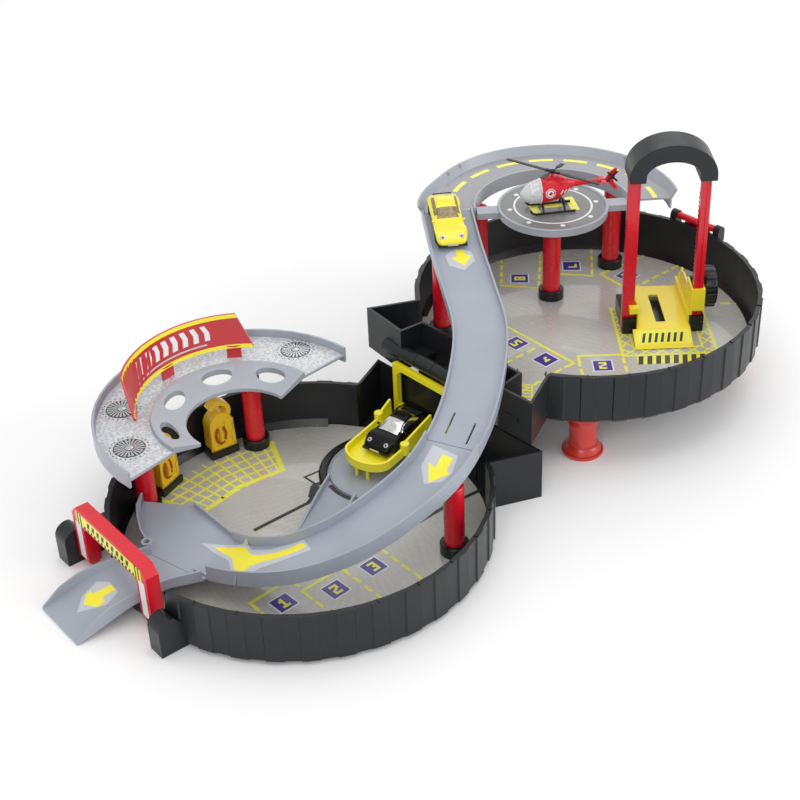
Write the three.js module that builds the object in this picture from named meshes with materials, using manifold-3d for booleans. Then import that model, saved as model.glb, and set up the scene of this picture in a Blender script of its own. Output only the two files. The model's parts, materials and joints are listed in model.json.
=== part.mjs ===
// Toy parking garage with lift: a round carry case like a tyre, open as two trays, with a ring deck,
// a helipad, a hand-cranked lift, an S-shaped ramp, a workshop deck, fuel pumps and small vehicles.
// Millimetres, +Z up. The origin is the lower tray's centre on the ground. +X runs to the upper tray.

import * as THREE from "three";
import { mergeVertices } from "three/addons/utils/BufferGeometryUtils.js";
import Module from "manifold-3d";

const wasm = await Module();
wasm.setup();

// Clearances
const gap = 0.3;
const running = 0.35;
const overrun = 2;

// Case: two like trays on one hinge, the upper one raised on feet by its own height
const tray = {
  radius: 150,
  height: 45,
  wall: 3.2,
  floor: 2.4,
  tread: 1,
  treads: 36,
  edge: 4,
};
const card = { thickness: 0.6, margin: 0.5 };
const hinge = { x: 163.5, barrel: 6.5, pin: 2, knuckle: 20, reach: 60, rise: 6, recess: 183, clear: 57 };
const foot = { flange: 17.5, neck: 11.5, collar: 13, rim: 3, dome: 9, x: 91, y: 80 };

// Posts under the decks
const post = { radius: 8, collar: 11, collarHeight: 12 };

// Ring deck and helipad on the upper tray
const ring = {
  x: 344,
  y: 57,
  road: 141,
  inner: 68,
  outer: 106,
  lean: 5,
  kerb: 2.2,
  guard: 7,
  skirt: 11,
  sheet: 2,
  from: -38.5,
  to: 142,
  flare: 9,
  flareFrom: 108,
  postReach: 81.3,
  postRight: 0.1,
  postBack: 118.1,
};
const pad = { radius: 48.4, top: 140, thickness: 6, armWidth: 14, arms: [141, -38] };

// S ramp from the ring deck to the gate
const ramp = {
  half: 22.3,
  sheet: 2,
  kerb: 1.6,
  upperKerb: 4,
  lowerKerb: 8.5,
  innerKerb: 4.3,
  skirt: 5,
  slot: 1.6,
  slotLength: 22,
  slotOut: 9.4,
  eyelet: 4.5,
  eye: 2.4,
  mouthUp: 1.8,
};
const gateRoad = 22;

// Workshop deck on the lower tray
const shop = {
  x: -1,
  y: 70,
  outer: 114.4,
  kerb: 67,
  lip: 42.3,
  top: 82.5,
  guardTop: 89,
  skirtBottom: 75,
  kerbTop: 86,
  lipTop: 76,
  lipBottom: 73,
  sheet: 2,
  from: 2,
  to: 187,
  windowLong: 13,
  windowWide: 6.5,
  windows: [25.8, 71.1, 117.3, 161.4],
  postReach: 80.5,
  postRight: 46,
  postLeft: 151.8,
};
const board = {
  bottom: 92,
  top: 120,
  low: [43, 152],
  high: [52.5, 139.7],
  setback: 13,
  lean: 7,
  sheet: 2,
  tab: 6,
  tabs: [55, 97.5, 140],
};

// Gate: entrance arch, its lugs and the exit chute
const gate = { x: -148.5, y: 41.5, turn: 176.5 };
const arch = {
  half: 53.5,
  leg: 15.3,
  depth: 11,
  top: 57,
  bar: 15,
  bevel: 7,
  foot: 7,
  toe: 2.7,
  pivot: 12.5,
  band: 1,
};
const lug = {
  back: 54.3,
  front: 65.5,
  width: 15.5,
  reach: 10,
  crown: 31,
  shoulder: 22.3,
  radius: 10,
  root: 48,
  pin: 2.2,
  seat: 5.5,
};
const gateway = { low: 15.9, left: -24, right: 62, slant: 8, depth: 34 };
const chute = { sheet: 2, kerb: 1.6 };

// Turntable, lane and tipping platform
const table = { x: 94, y: 14, radius: 43, thickness: 2.6, pivot: 4 };
const lane = { x: 58, y: 18.8, heading: 208.9, length: 66, width: 31, height: 7, wall: 1.8, sheet: 1.6 };
const hoist = {
  x: 147,
  y: 29.6,
  heading: 191,
  length: 78,
  width: 44,
  noseLength: 15,
  rim: 6,
  wall: 2,
  sheet: 2,
  pivot: 18,
  rise: 5,
  drop: 3.5,
  pin: 1.6,
  barrel: 3,
  sideBack: 24,
  sideFront: 47,
  sideTop: 9,
  roll: 4,
  prong: 2,
  prongSpread: 11,
};
const portal = { x: 156.6, depth: 5, bar: 5, top: 60, left: 63.3, right: -6, sill: 20 };

// Lift tower, in its own frame: x across, y back, from the front left corner of its footprint
const lift = {
  x: 311.6,
  y: -56.9,
  turn: -41.3,
  railLeft: 10,
  railRight: 68.5,
  railWidth: 8,
  railFront: 38,
  railTop: 203,
  rackStop: 21,
  groove: 1.8,
  grooveDepth: 0.9,
  baseWall: 2,
  baseTop: 64,
  baseFront: 35,
  baseBack: 79,
};
const pinion = {
  radius: 8,
  teeth: 12,
  backlashShare: 0.1,
  pressure: 20,
  dedendumShare: 1.25,
  axle: 2,
  snug: 0.1,
  knob: 18.5,
  knobWidth: 11,
};
const cabin = {
  floor: 57,
  sheet: 2,
  left: 16,
  right: 62,
  front: 28.5,
  back: 102.5,
  rampFront: 8,
  rampLeft: 12,
  wall: 1.6,
  wallTop: 84,
  bracketLow: 68.7,
  bracketHigh: 90,
  slotLeft: 34,
  slotRight: 42.5,
  slotFront: 40,
  slotBack: 87,
  wallFront: 36.5,
  lip: 1.2,
  ledgeUp: 0.6,
  notchLow: 65,
  notchDeep: 70,
  notchHigh: 74,
  notchTop: 80,
  holderBack: 4.8,
  clipLow: 70.7,
  clipHigh: 76.3,
  clipReach: 4.8,
  clipIn: 1,
};
const cap = { front: 30, back: 60, foot: 195, spring: 200, inner: 13, outer: 28, side: 7 };

// Latch on the upper tray's far rim
const latch = {
  axis: 93.6,
  bar: 3.2,
  half: 21,
  lug: 6.5,
  plate: 2.4,
  hook: 0.8,
  drop: 25,
  width: 28,
  pin: 1.9,
  seat: 2.2,
};

// Fuel pumps
const pump = {
  width: 22,
  depth: 14,
  body: 34,
  base: 7,
  foot: 2,
  hoop: 11,
  hoopInner: 6.5,
  hoopDepth: 9.4,
  well: 5.5,
  wellDepth: 3.5,
  sill: 7,
  nozzle: 2.2,
  nozzleGap: 2.5,
};
const pumpPlaces = {
  right: { x: 18, y: 131, turn: -8 },
  left: { x: -44.5, y: 124, turn: 18 },
};

// Vehicles, about 1:64
const car = {
  length: 63,
  width: 28,
  height: 18.5,
  waist: 10.5,
  tumble: 5.3,
  base: 38,
  wheel: 5.2,
  archGap: 0.9,
  tread: 6,
  inset: 0.6,
  axle: 1.2,
  saddle: 2.4,
  clear: 3.2,
  pan: 2.6,
  panLength: 59,
};
const parked = { seam: 1, across: 3, lift: 0.5, aside: 3, seat: 28 };
const copter = {
  x: 338,
  y: 53,
  heading: 147,
  length: 54,
  pod: 66,
  width: 19,
  height: 22,
  belly: 8,
  boom: 3.8,
  fin: 2.5,
  mast: 35,
  shaft: 1.4,
  hub: 2.6,
  hubHeight: 3,
  rotor: 47,
  rotorTurn: -46,
  blade: 3.4,
  bladeSheet: 0.9,
  bladeUp: 0.6,
  tail: 6.5,
  tailBlade: 1.8,
  tailTurns: [45, 135],
  tailSheet: 0.8,
  tailHub: 1.5,
  skid: 38,
  runner: 1.2,
  strut: 1.6,
  stalk: 4,
};

const DEG = Math.PI / 180;
const SIDES = 16;

// Geometry helpers

const bounds = (x, y, z) =>
  new THREE.BoxGeometry(x[1] - x[0], y[1] - y[0], z[1] - z[0]).translate(
    (x[0] + x[1]) / 2,
    (y[0] + y[1]) / 2,
    (z[0] + z[1]) / 2,
  );

const outline = (points) => new THREE.Shape(points.map(([x, y]) => new THREE.Vector2(x, y)));

// A plan outline raised from one height to another
function prism(shape, bottom, top, steps = 6) {
  const flat = Array.isArray(shape) ? outline(shape) : shape;
  return new THREE.ExtrudeGeometry(flat, {
    depth: top - bottom,
    bevelEnabled: false,
    curveSegments: steps,
  }).translate(0, 0, bottom);
}

// An outline in x and z drawn out along y
const sidePrism = (shape, from, to, steps) =>
  prism(shape, 0, to - from, steps).rotateX(90 * DEG).translate(0, to, 0);

// An outline in y and z drawn out along x
const frontPrism = (shape, from, to, steps) =>
  prism(shape, 0, to - from, steps)
    .rotateX(90 * DEG)
    .rotateZ(90 * DEG)
    .translate(from, 0, 0);

const disc = (radius, bottom, top, x = 0, y = 0, sides = SIDES) =>
  new THREE.CylinderGeometry(radius, radius, top - bottom, sides)
    .rotateX(90 * DEG)
    .translate(x, y, (top + bottom) / 2);

const rodX = (radius, from, to, y, z, sides = SIDES) =>
  new THREE.CylinderGeometry(radius, radius, to - from, sides)
    .rotateZ(90 * DEG)
    .translate((from + to) / 2, y, z);

const rodY = (radius, from, to, x, z, sides = SIDES) =>
  new THREE.CylinderGeometry(radius, radius, Math.abs(to - from), sides).translate(
    x,
    (from + to) / 2,
    z,
  );

// The corners of a circle in plan
function circle(x, y, radius, sides) {
  return Array.from({ length: sides }, (_, i) => polar({ x, y }, radius, (i * 360) / sides));
}

const turned = (profile, sides = SIDES) =>
  new THREE.LatheGeometry(profile.map(([r, z]) => new THREE.Vector2(r, z)), sides).rotateX(90 * DEG);

function solidOf(geometry) {
  const bare = geometry.clone();
  bare.deleteAttribute("normal");
  bare.deleteAttribute("uv");
  const merged = mergeVertices(bare, 1e-4);
  return new wasm.Manifold(
    new wasm.Mesh({
      numProp: 3,
      vertProperties: new Float32Array(merged.attributes.position.array),
      triVerts: new Uint32Array(merged.index.array),
    }),
  );
}

function geometryOf(solid) {
  const mesh = solid.getMesh();
  const made = new THREE.BufferGeometry();
  made.setAttribute("position", new THREE.BufferAttribute(new Float32Array(mesh.vertProperties), 3));
  made.setIndex(new THREE.BufferAttribute(new Uint32Array(mesh.triVerts), 1));
  made.computeVertexNormals();
  return made;
}

const join = (...parts) =>
  geometryOf(parts.map(solidOf).reduce((whole, piece) => whole.add(piece)));

const cut = (body, ...tools) =>
  geometryOf(tools.map(solidOf).reduce((whole, tool) => whole.subtract(tool), solidOf(body)));

// A closed skin over rings with the same number of points, capped at both ends
function loft(rings, capPoints) {
  const count = rings[0].length;
  const faces = [];
  for (let i = 0; i + 1 < rings.length; i++) {
    for (let j = 0; j < count; j++) {
      const a = i * count + j;
      const b = i * count + ((j + 1) % count);
      faces.push(a, b, b + count, a, b + count, a + count);
    }
  }
  const contour = capPoints.map(([x, y]) => new THREE.Vector2(x, y));
  const ccw = !THREE.ShapeUtils.isClockWise(contour);
  const last = (rings.length - 1) * count;
  for (const [a, b, c] of THREE.ShapeUtils.triangulateShape([...contour], [])) {
    const [p, q, r] = ccw ? [a, b, c] : [c, b, a];
    faces.push(p, r, q, last + p, last + q, last + r);
  }
  const made = new THREE.BufferGeometry();
  made.setAttribute("position", new THREE.Float32BufferAttribute(rings.flat(2), 3));
  made.setIndex(ccw ? faces : flipped(faces));
  return solidOf(made).volume() < 0 ? reversed(made) : made;
}

const flipped = (faces) => faces.map((_, i) => faces[i - (i % 3) + [0, 2, 1][i % 3]]);

function reversed(geometry) {
  geometry.setIndex(flipped([...geometry.index.array]));
  return geometry;
}

// A section in radius and height swept round a centre between two angles in degrees
function arcSweep(centre, section, from, to, steps, widen = (radius) => radius) {
  const rings = [];
  for (let i = 0; i <= steps; i++) {
    const degrees = from + ((to - from) * i) / steps;
    rings.push(section.map(([r, z]) => [...polar(centre, widen(r, degrees), degrees), z]));
  }
  return loft(rings, section);
}

const polar = (centre, radius, degrees) => [
  centre.x + radius * Math.cos(degrees * DEG),
  centre.y + radius * Math.sin(degrees * DEG),
];

// Scene helpers

const plastic = (colour, roughness) =>
  new THREE.MeshStandardMaterial({ color: colour, roughness, metalness: 0 });

const looks = {
  black: () => plastic(0x2b2d2e, 0.45),
  card: () => plastic(0x9c9c96, 0.3),
  red: () => plastic(0xc8102e, 0.25),
  road: () => plastic(0xa4acbc, 0.4),
  deck: () => plastic(0x9a9fa8, 0.4),
  yellow: () => plastic(0xf6d22e, 0.35),
  bright: () => plastic(0xfff000, 0.35),
  glass: () => plastic(0xdfe6ea, 0.1),
  carYellow: () => plastic(0xf2d500, 0.2),
  carBlack: () => plastic(0x16171a, 0.2),
  tyre: () => plastic(0x141414, 0.8),
};

const garage = new THREE.Group();

function add(parent, name, geometry, look) {
  const mesh = new THREE.Mesh(geometry, looks[look]());
  mesh.name = name;
  parent.add(mesh);
  return mesh;
}

// A group at a place, turned about the vertical
function frame(parent, x, y, degrees, z = 0) {
  const group = new THREE.Group();
  group.position.set(x, y, z);
  group.rotation.z = degrees * DEG;
  parent.add(group);
  return group;
}

const upperX = 2 * hinge.x;
const upperZ = tray.height;
const hingeZ = 1.5 * tray.height;
const cardTop = tray.floor + gap + card.thickness;
const upperCardTop = upperZ + cardTop;

// Post places: under a deck by bearing from its centre, under the ramp in shares of the tray radius
const rampPostShares = { lower: [0.437, -0.68], upper: [1.547, 0.553] };
const [rampPost, upperRampPost] = [rampPostShares.lower, rampPostShares.upper].map(([x, y]) => [
  x * tray.radius,
  y * tray.radius,
]);
const shopPosts = {
  right: polar(shop, shop.kerb, shop.postRight),
  left: polar(shop, shop.postReach, shop.postLeft),
};
const ringPosts = {
  right: polar(ring, ring.postReach, ring.postRight),
  back: polar(ring, ring.inner, ring.postBack),
};

// Trays

// A tray's outside at one height: lands and hollows of the tread in turn
function treadRing(z, shrink) {
  const points = [];
  const pitch = 360 / tray.treads;
  const share = [0.02, 0.48, 0.52, 0.98];
  for (let i = 0; i < tray.treads; i++) {
    share.forEach((at, k) => {
      const radius = tray.radius - shrink - (k < 2 ? 0 : tray.tread);
      const [x, y] = polar({ x: 0, y: 0 }, radius, (i + at) * pitch);
      points.push([x, y, z]);
    });
  }
  return points;
}

function drum() {
  const rings = [
    treadRing(0, tray.edge),
    treadRing(tray.edge, 0),
    treadRing(tray.height, 0),
  ];
  return loft(rings, rings[0].map(([x, y]) => [x, y]));
}

const cavityRadius = tray.radius - tray.tread - tray.wall;

// The wings where the wall leaves the circle to reach the hinge, as plan corners in shares of the radius
const wingShares = {
  lower: [
    [0.4, -0.5],
    [0.831, -0.544],
    [1.1, -0.666],
    [1.1, 0.627],
    [0.861, 0.525],
    [0.4, 0.5],
  ],
  upper: [
    [1.78, 0.5],
    [1.373, 0.584],
    [1.113, 0.72],
    [1.07, 0.389],
    [1.22, 0.37],
    [1.22, -0.37],
    [1.05, -0.389],
    [1.057, -0.625],
    [1.313, -0.507],
    [1.78, -0.5],
  ],
};
const wingWall = 2.4;
const wings = Object.fromEntries(
  Object.entries(wingShares).map(([side, shares]) => [
    side,
    shares.map(([x, y]) => [x * tray.radius, y * tray.radius]),
  ]),
);
const wingX = Math.max(...wings.lower.map(([x]) => x));

// A plan outline moved inwards by an even wall
function inset(points, wall) {
  const ccw = THREE.ShapeUtils.isClockWise(points.map(([x, y]) => new THREE.Vector2(x, y))) ? -1 : 1;
  const count = points.length;
  const inward = (from, to) => {
    const length = Math.hypot(to[0] - from[0], to[1] - from[1]);
    return [(-(to[1] - from[1]) * ccw) / length, ((to[0] - from[0]) * ccw) / length];
  };
  return points.map((point, i) => {
    const before = inward(points[(i + count - 1) % count], point);
    const after = inward(point, points[(i + 1) % count]);
    const spread = 1 + before[0] * after[0] + before[1] * after[1];
    return [
      point[0] + (wall * (before[0] + after[0])) / spread,
      point[1] + (wall * (before[1] + after[1])) / spread,
    ];
  });
}

function collars(places, base) {
  return places.map(([x, y]) => disc(post.collar, base, base + post.collarHeight, x, y));
}

function sockets(places, base) {
  return places.map(([x, y]) =>
    disc(post.radius + gap, base + tray.floor, base + post.collarHeight + overrun, x, y),
  );
}

// The gate's own frame: x out of the tray, y along the gate to the front
const gateFrame = new THREE.Group();
gateFrame.position.set(gate.x, gate.y, 0);
gateFrame.rotation.z = gate.turn * DEG;
gateFrame.updateMatrix();
const toTray = (geometry) => geometry.applyMatrix4(gateFrame.matrix);

// How far the arch's toes reach from its pivot as it swings
const legSweep = Math.hypot(arch.depth / 2 - arch.toe, arch.foot);

// One gate lug with its pivot bore: a round-topped block that runs back into the tray's wall
function lugBlock(side) {
  const near = side > 0 ? lug.front : lug.back;
  const spread = side > 0 ? [near, near + lug.width] : [-near - lug.width, -near];
  const profile = new THREE.Shape();
  profile.moveTo(-lug.root, 0);
  profile.lineTo(lug.reach, 0);
  profile.lineTo(lug.reach, lug.crown - lug.radius);
  profile.absarc(lug.reach - lug.radius, lug.crown - lug.radius, lug.radius, 0, 110 * DEG, false);
  profile.lineTo(-lug.reach, lug.shoulder);
  profile.lineTo(-lug.root, lug.shoulder);
  const bore = [side * (near - overrun), side * (near + lug.seat + gap)];
  return {
    body: toTray(sidePrism(profile, ...spread)),
    bore: toTray(rodY(lug.pin + gap, ...bore, -arch.depth / 2, arch.pivot)),
  };
}

// What the gate takes out of the lower tray: the gateway in the wall and room for the arch's legs
function gateTools() {
  const above = tray.height + overrun;
  const opening = frontPrism(
    [
      [gateway.left, gateway.low],
      [gateway.right, gateway.low],
      [gateway.right + gateway.slant, above],
      [gateway.left, above],
    ],
    -gateway.depth,
    lug.reach,
  );
  const legSlots = [1, -1].map((side) => {
    const near = side > 0 ? lug.front : lug.back;
    const inner = side * (arch.half - arch.leg - gap);
    const outer = side * near;
    return bounds(
      [-arch.depth - running, lug.reach + overrun],
      side > 0 ? [inner, outer] : [outer, inner],
      [arch.pivot - legSweep - running, above],
    );
  });
  return [opening, ...legSlots].map(toTray);
}

const knuckleRows = { lower: [-1.5, 1.5], upper: [-3, 0, 3] };

// Hinge barrels at their places along the axis, with the arms that carry them
function knuckles(rows, arm, length) {
  return rows.flatMap((row) => {
    const at = row * hinge.knuckle;
    const spread = [at - length / 2 + gap, at + length / 2 - gap];
    return [rodY(hinge.barrel, ...spread, hinge.x, hingeZ), bounds(arm.x, spread, arm.z)];
  });
}

const hingeBore = () => rodY(hinge.pin + gap, -hinge.reach - overrun, hinge.reach + overrun, hinge.x, hingeZ);

function lowerTray() {
  const above = tray.height + overrun;
  const lugs = [1, -1].map(lugBlock);
  const outside = join(drum(), prism(wings.lower, 0, tray.height), ...lugs.map((piece) => piece.body));
  const shell = cut(
    outside,
    disc(cavityRadius, tray.floor, above, 0, 0, SIDES * 3),
    prism(inset(wings.lower, wingWall), tray.floor, above),
    ...gateTools(),
    ...lugs.map((piece) => piece.bore),
  );
  const places = [shopPosts.right, shopPosts.left, rampPost];
  const pivotTop = cardTop + gap + table.thickness;
  const arm = { x: [wingX - wingWall, hinge.x + hinge.barrel], z: [tray.height - overrun, hingeZ] };
  const bosses = join(
    shell,
    ...collars(places, 0),
    ...knuckles(knuckleRows.lower, arm, hinge.knuckle),
    disc(table.pivot - gap, 0, pivotTop, table.x, table.y),
  );
  return cut(bosses, ...sockets(places, 0), hingeBore());
}

// The two lugs on the far rim that the latch bar turns in
function latchLug(side) {
  const rim = upperX + tray.radius;
  const foot = upperZ + tray.height - latch.lug;
  const near = latch.half + gap;
  const profile = new THREE.Shape();
  profile.moveTo(rim - tray.wall, foot);
  profile.lineTo(rim + latch.lug, foot);
  profile.lineTo(rim + latch.lug, latch.axis);
  profile.absarc(rim + latch.pin, latch.axis, latch.lug - latch.pin, 0, 180 * DEG, false);
  profile.lineTo(rim - tray.wall, foot);
  return side > 0
    ? sidePrism(profile, near, near + latch.lug)
    : sidePrism(profile, -near - latch.lug, -near);
}

function upperTray() {
  const low = upperZ + hinge.rise;
  const top = upperZ + tray.height;
  const above = top + overrun;
  const notch = [[0, hinge.recess], [-hinge.clear, hinge.clear]];
  const drumBody = cut(drum().translate(upperX, 0, upperZ), bounds(...notch, [0, above]));
  const arm = { x: [hinge.x, hinge.recess + wingWall], z: [hingeZ - hinge.barrel, hingeZ] };
  const cavity = cut(
    disc(cavityRadius, upperZ + tray.floor, above, upperX, 0, SIDES * 3),
    bounds([0, hinge.recess + wingWall], notch[1], [0, above]),
  );
  const shell = cut(
    join(drumBody, prism(wings.upper, low, top)),
    cavity,
    prism(inset(wings.upper, wingWall), low + wingWall, above),
  );
  const places = [ringPosts.right, ringPosts.back, [ring.x, ring.y], upperRampPost];
  const bosses = join(
    shell,
    ...knuckles(knuckleRows.upper, arm, hinge.knuckle * 2),
    ...[-1, 1].map(latchLug),
    ...collars(places, upperZ),
  );
  const grip = latch.half + latch.lug / 2;
  return cut(
    bosses,
    ...sockets(places, upperZ),
    hingeBore(),
    rodY(latch.pin + gap, -grip, grip, upperX + tray.radius + latch.pin, latch.axis),
  );
}

// A printed floor card with holes for what stands through it
function floorCard(centreX, base, holes, leftmost) {
  const rim = circle(centreX, 0, cavityRadius - card.margin, SIDES * 3);
  const shape = outline(rim.map(([x, y]) => [Math.max(x, leftmost), y]));
  shape.holes = holes.map(([x, y, radius]) => outline(circle(x, y, radius + gap * 2, SIDES).reverse()));
  return prism(shape, base + tray.floor + gap, base + cardTop);
}

function buildCase() {
  add(garage, "lower_tray", lowerTray(), "black");
  add(garage, "upper_tray", upperTray(), "black");
  const holesFor = (places) => places.map(([x, y]) => [x, y, post.collar]);
  const lowerHoles = holesFor([shopPosts.right, shopPosts.left, rampPost]);
  lowerHoles.push([table.x, table.y, table.pivot]);
  const upperHoles = holesFor([ringPosts.right, ringPosts.back, [ring.x, ring.y], upperRampPost]);
  add(garage, "lower_floor_card", floorCard(0, 0, lowerHoles, -tray.radius), "card");
  const recessWall = hinge.recess + wingWall + card.margin;
  add(garage, "upper_floor_card", floorCard(upperX, upperZ, upperHoles, recessWall), "card");
  const pin = rodY(hinge.pin, -hinge.reach, hinge.reach, hinge.x, hingeZ);
  add(garage, "case_hinge_pin", pin, "black");
  const top = upperZ - gap;
  const profile = [
    [0, 0],
    [foot.flange, 0],
    [foot.flange, foot.rim],
    [foot.collar, foot.dome],
    [foot.neck, foot.dome + foot.rim],
    [foot.neck, top - foot.dome * 2],
    [foot.collar, top - foot.dome],
    [foot.collar, top],
    [0, top],
  ];
  [-1, 1].forEach((sideX) =>
    [-1, 1].forEach((sideY) => {
      const name = "foot_" + (sideX < 0 ? "inner_" : "outer_") + (sideY < 0 ? "front" : "back");
      const spool = turned(profile).translate(upperX + sideX * foot.x, sideY * foot.y, 0);
      add(garage, name, spool, "red");
    }),
  );
}

// Decks

// The ring's road widens outwards towards the ramp
function flared(radius, degrees) {
  if (radius < (ring.inner + ring.outer) / 2) return radius;
  const share = Math.max(0, (degrees - ring.flareFrom) / (ring.to - ring.flareFrom));
  return radius + ring.flare * share * share * (3 - 2 * share);
}

function buildRing() {
  const deepest = ring.road - ring.skirt;
  const guardTop = ring.road + ring.guard;
  const under = ring.road - ring.sheet;
  const section = [
    [ring.inner, deepest],
    [ring.inner + ring.sheet, deepest],
    [ring.inner + ring.sheet, under],
    [ring.outer - ring.sheet, under],
    [ring.outer - ring.sheet, deepest],
    [ring.outer, deepest],
    [ring.outer, under],
    [ring.outer + ring.lean, guardTop],
    [ring.outer + ring.lean - ring.sheet, guardTop],
    [ring.outer - ring.sheet, ring.road],
    [ring.inner + ring.sheet, ring.road],
    [ring.inner + ring.sheet, ring.road + ring.kerb],
    [ring.inner, ring.road + ring.kerb],
  ];
  add(garage, "ring_deck", arcSweep(ring, section, ring.from, ring.to, 30, flared), "deck");
  const arms = pad.arms.map((angle) => {
    const reach = ring.inner - gap * 2;
    return bounds([0, reach], [-pad.armWidth / 2, pad.armWidth / 2], [pad.top - pad.thickness, pad.top - gap])
      .rotateZ(angle * DEG)
      .translate(ring.x, ring.y, 0);
  });
  const plate = disc(pad.radius, pad.top - pad.thickness, pad.top, ring.x, ring.y, SIDES * 2);
  add(garage, "helipad", join(plate, ...arms), "deck");
  const postTop = pad.top - pad.thickness - gap;
  addPost("helipad_post", [ring.x, ring.y], upperZ, postTop);
  addPost("ring_post_right", ringPosts.right, upperZ, under - gap);
  addPost("ring_post_back", ringPosts.back, upperZ, deepest - gap);
}

function addPost(name, [x, y], base, top) {
  add(garage, name, disc(post.radius, base + tray.floor + gap, top, x, y), "red");
}

function buildShop() {
  const under = shop.top - shop.sheet;
  const section = [
    [shop.outer - shop.sheet, shop.skirtBottom],
    [shop.outer, shop.skirtBottom],
    [shop.outer, shop.guardTop],
    [shop.outer - shop.sheet, shop.guardTop],
    [shop.outer - shop.sheet, shop.top],
    [shop.kerb + shop.sheet, shop.top],
    [shop.kerb + shop.sheet, shop.kerbTop],
    [shop.kerb, shop.kerbTop],
    [shop.lip + shop.sheet, shop.lipTop],
    [shop.lip, shop.lipTop],
    [shop.lip, shop.lipBottom],
    [shop.lip + shop.sheet, shop.lipBottom],
    [shop.kerb, under],
    [shop.outer - shop.sheet, under],
  ];
  const deck = arcSweep(shop, section, shop.from, shop.to, 28);
  const middle = (shop.kerb + shop.lip) / 2 + shop.sheet;
  const windows = shop.windows.map((angle) =>
    new THREE.CylinderGeometry(1, 1, shop.guardTop, SIDES + SIDES / 2)
      .rotateX(90 * DEG)
      .scale(shop.windowWide, shop.windowLong, 1)
      .translate(middle, 0, shop.top)
      .rotateZ(angle * DEG)
      .translate(shop.x, shop.y, 0),
  );
  add(garage, "workshop_deck", cut(deck, ...windows), "deck");
  const slope = (under - shop.lipBottom) / (shop.kerb - shop.lip - shop.sheet);
  addPost("workshop_post_right", shopPosts.right, 0, under - slope * (post.radius + gap) - gap);
  addPost("workshop_post_left", shopPosts.left, 0, under - gap);
}

function buildBoard() {
  const steps = 20;
  const rings = [];
  const radius = shop.kerb + board.setback;
  const at = (share, [from, to], radius, z) => [...polar(shop, radius, from + (to - from) * share), z];
  for (let i = 0; i <= steps; i++) {
    const share = i / steps;
    const { sheet, lean } = board;
    rings.push([
      at(share, board.low, radius, board.bottom),
      at(share, board.low, radius + sheet, board.bottom),
      at(share, board.high, radius + lean + sheet, board.top),
      at(share, board.high, radius + lean, board.top),
    ]);
  }
  const flat = [
    [0, 0],
    [board.sheet, 0],
    [board.lean + board.sheet, board.top - board.bottom],
    [board.lean, board.top - board.bottom],
  ];
  const tabs = board.tabs.map((angle) =>
    bounds(
      [radius, radius + board.sheet],
      [-board.tab, board.tab],
      [shop.top + gap, board.bottom + board.sheet],
    )
      .rotateZ(angle * DEG)
      .translate(shop.x, shop.y, 0),
  );
  add(garage, "billboard", join(loft(rings, flat), ...tabs), "red");
}

// Ramps

// The S ramp's centre line: plan places in shares of the tray radius, with the road's height
const routeShares = [
  [1.607, 0.487, 0.867],
  [1.433, 0.213, 0.797],
  [1.247, -0.06, 0.724],
  [1.0, -0.28, 0.647],
  [0.71, -0.467, 0.567],
  [0.387, -0.583, 0.483],
  [-0.007, -0.573, 0.383],
  [-0.213, -0.51, 0.327],
  [-0.38, -0.387, 0.267],
  [-0.48, -0.22, 0.21],
  [-0.527, -0.053, 0.163],
];
const startAngle = ring.to + 0.4;
const rampRadius = (ring.inner + flared(ring.outer + ring.lean, ring.to)) / 2;
const [startX, startY] = polar(ring, rampRadius, startAngle);
const route = new THREE.CatmullRomCurve3([
  new THREE.Vector3(startX, startY, ring.road),
  ...routeShares.map((share) => new THREE.Vector3(...share).multiplyScalar(tray.radius)),
  new THREE.Vector3(-0.543 * tray.radius, 0.04 * tray.radius, gateRoad),
]);
const joinShare = 0.548;
const slotShares = [0.505, 0.518];
const startHeading = new THREE.Vector3(-Math.sin(startAngle * DEG), Math.cos(startAngle * DEG), 0);

// A channel of road, kerbs and skirts along a stretch of the route
function channel(from, to, steps, kerbHeight) {
  const side = ramp.half - ramp.kerb;
  const section = [
    [-ramp.half, -ramp.skirt],
    [-side, -ramp.skirt],
    [-side, -ramp.sheet],
    [side, -ramp.sheet],
    [side, -ramp.skirt],
    [ramp.half, -ramp.skirt],
    [ramp.half, kerbHeight],
    [side, kerbHeight],
    [side, 0],
    [-side, 0],
    [-side, kerbHeight],
    [-ramp.half, kerbHeight],
  ];
  const rings = [];
  for (let i = 0; i <= steps; i++) {
    const share = from + ((to - from) * i) / steps;
    const at = route.getPointAt(share);
    const ahead = share === 0 ? startHeading : route.getTangentAt(share);
    const across = new THREE.Vector3(ahead.y, -ahead.x, 0).normalize();
    rings.push(section.map(([u, v]) => [at.x + across.x * u, at.y + across.y * u, at.z + v]));
  }
  return loft(rings, section);
}

// The lowest height of the road over a post and some way to each side, less what lies under it
function postTopUnder([x, y], below, spread) {
  const places = [];
  for (let i = 0; i <= 400; i++) {
    const at = route.getPointAt(i / 400);
    places.push({ away: Math.hypot(at.x - x, at.y - y), z: at.z });
  }
  const nearest = Math.min(...places.map((place) => place.away));
  const over = places.filter((place) => place.away <= Math.hypot(nearest, spread));
  return Math.min(...over.map((place) => place.z)) - below - gap;
}

// The foot of the ramp: a plate from the road's end to the gate's seam, as plan shares of the radius
const plateShares = [
  [-0.39, -0.1],
  [-0.37, 0.43],
  [-0.547, 0.664],
  [-0.627, 0.593],
  [-0.673, 0.52],
  [-0.727, 0.413],
];

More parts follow.
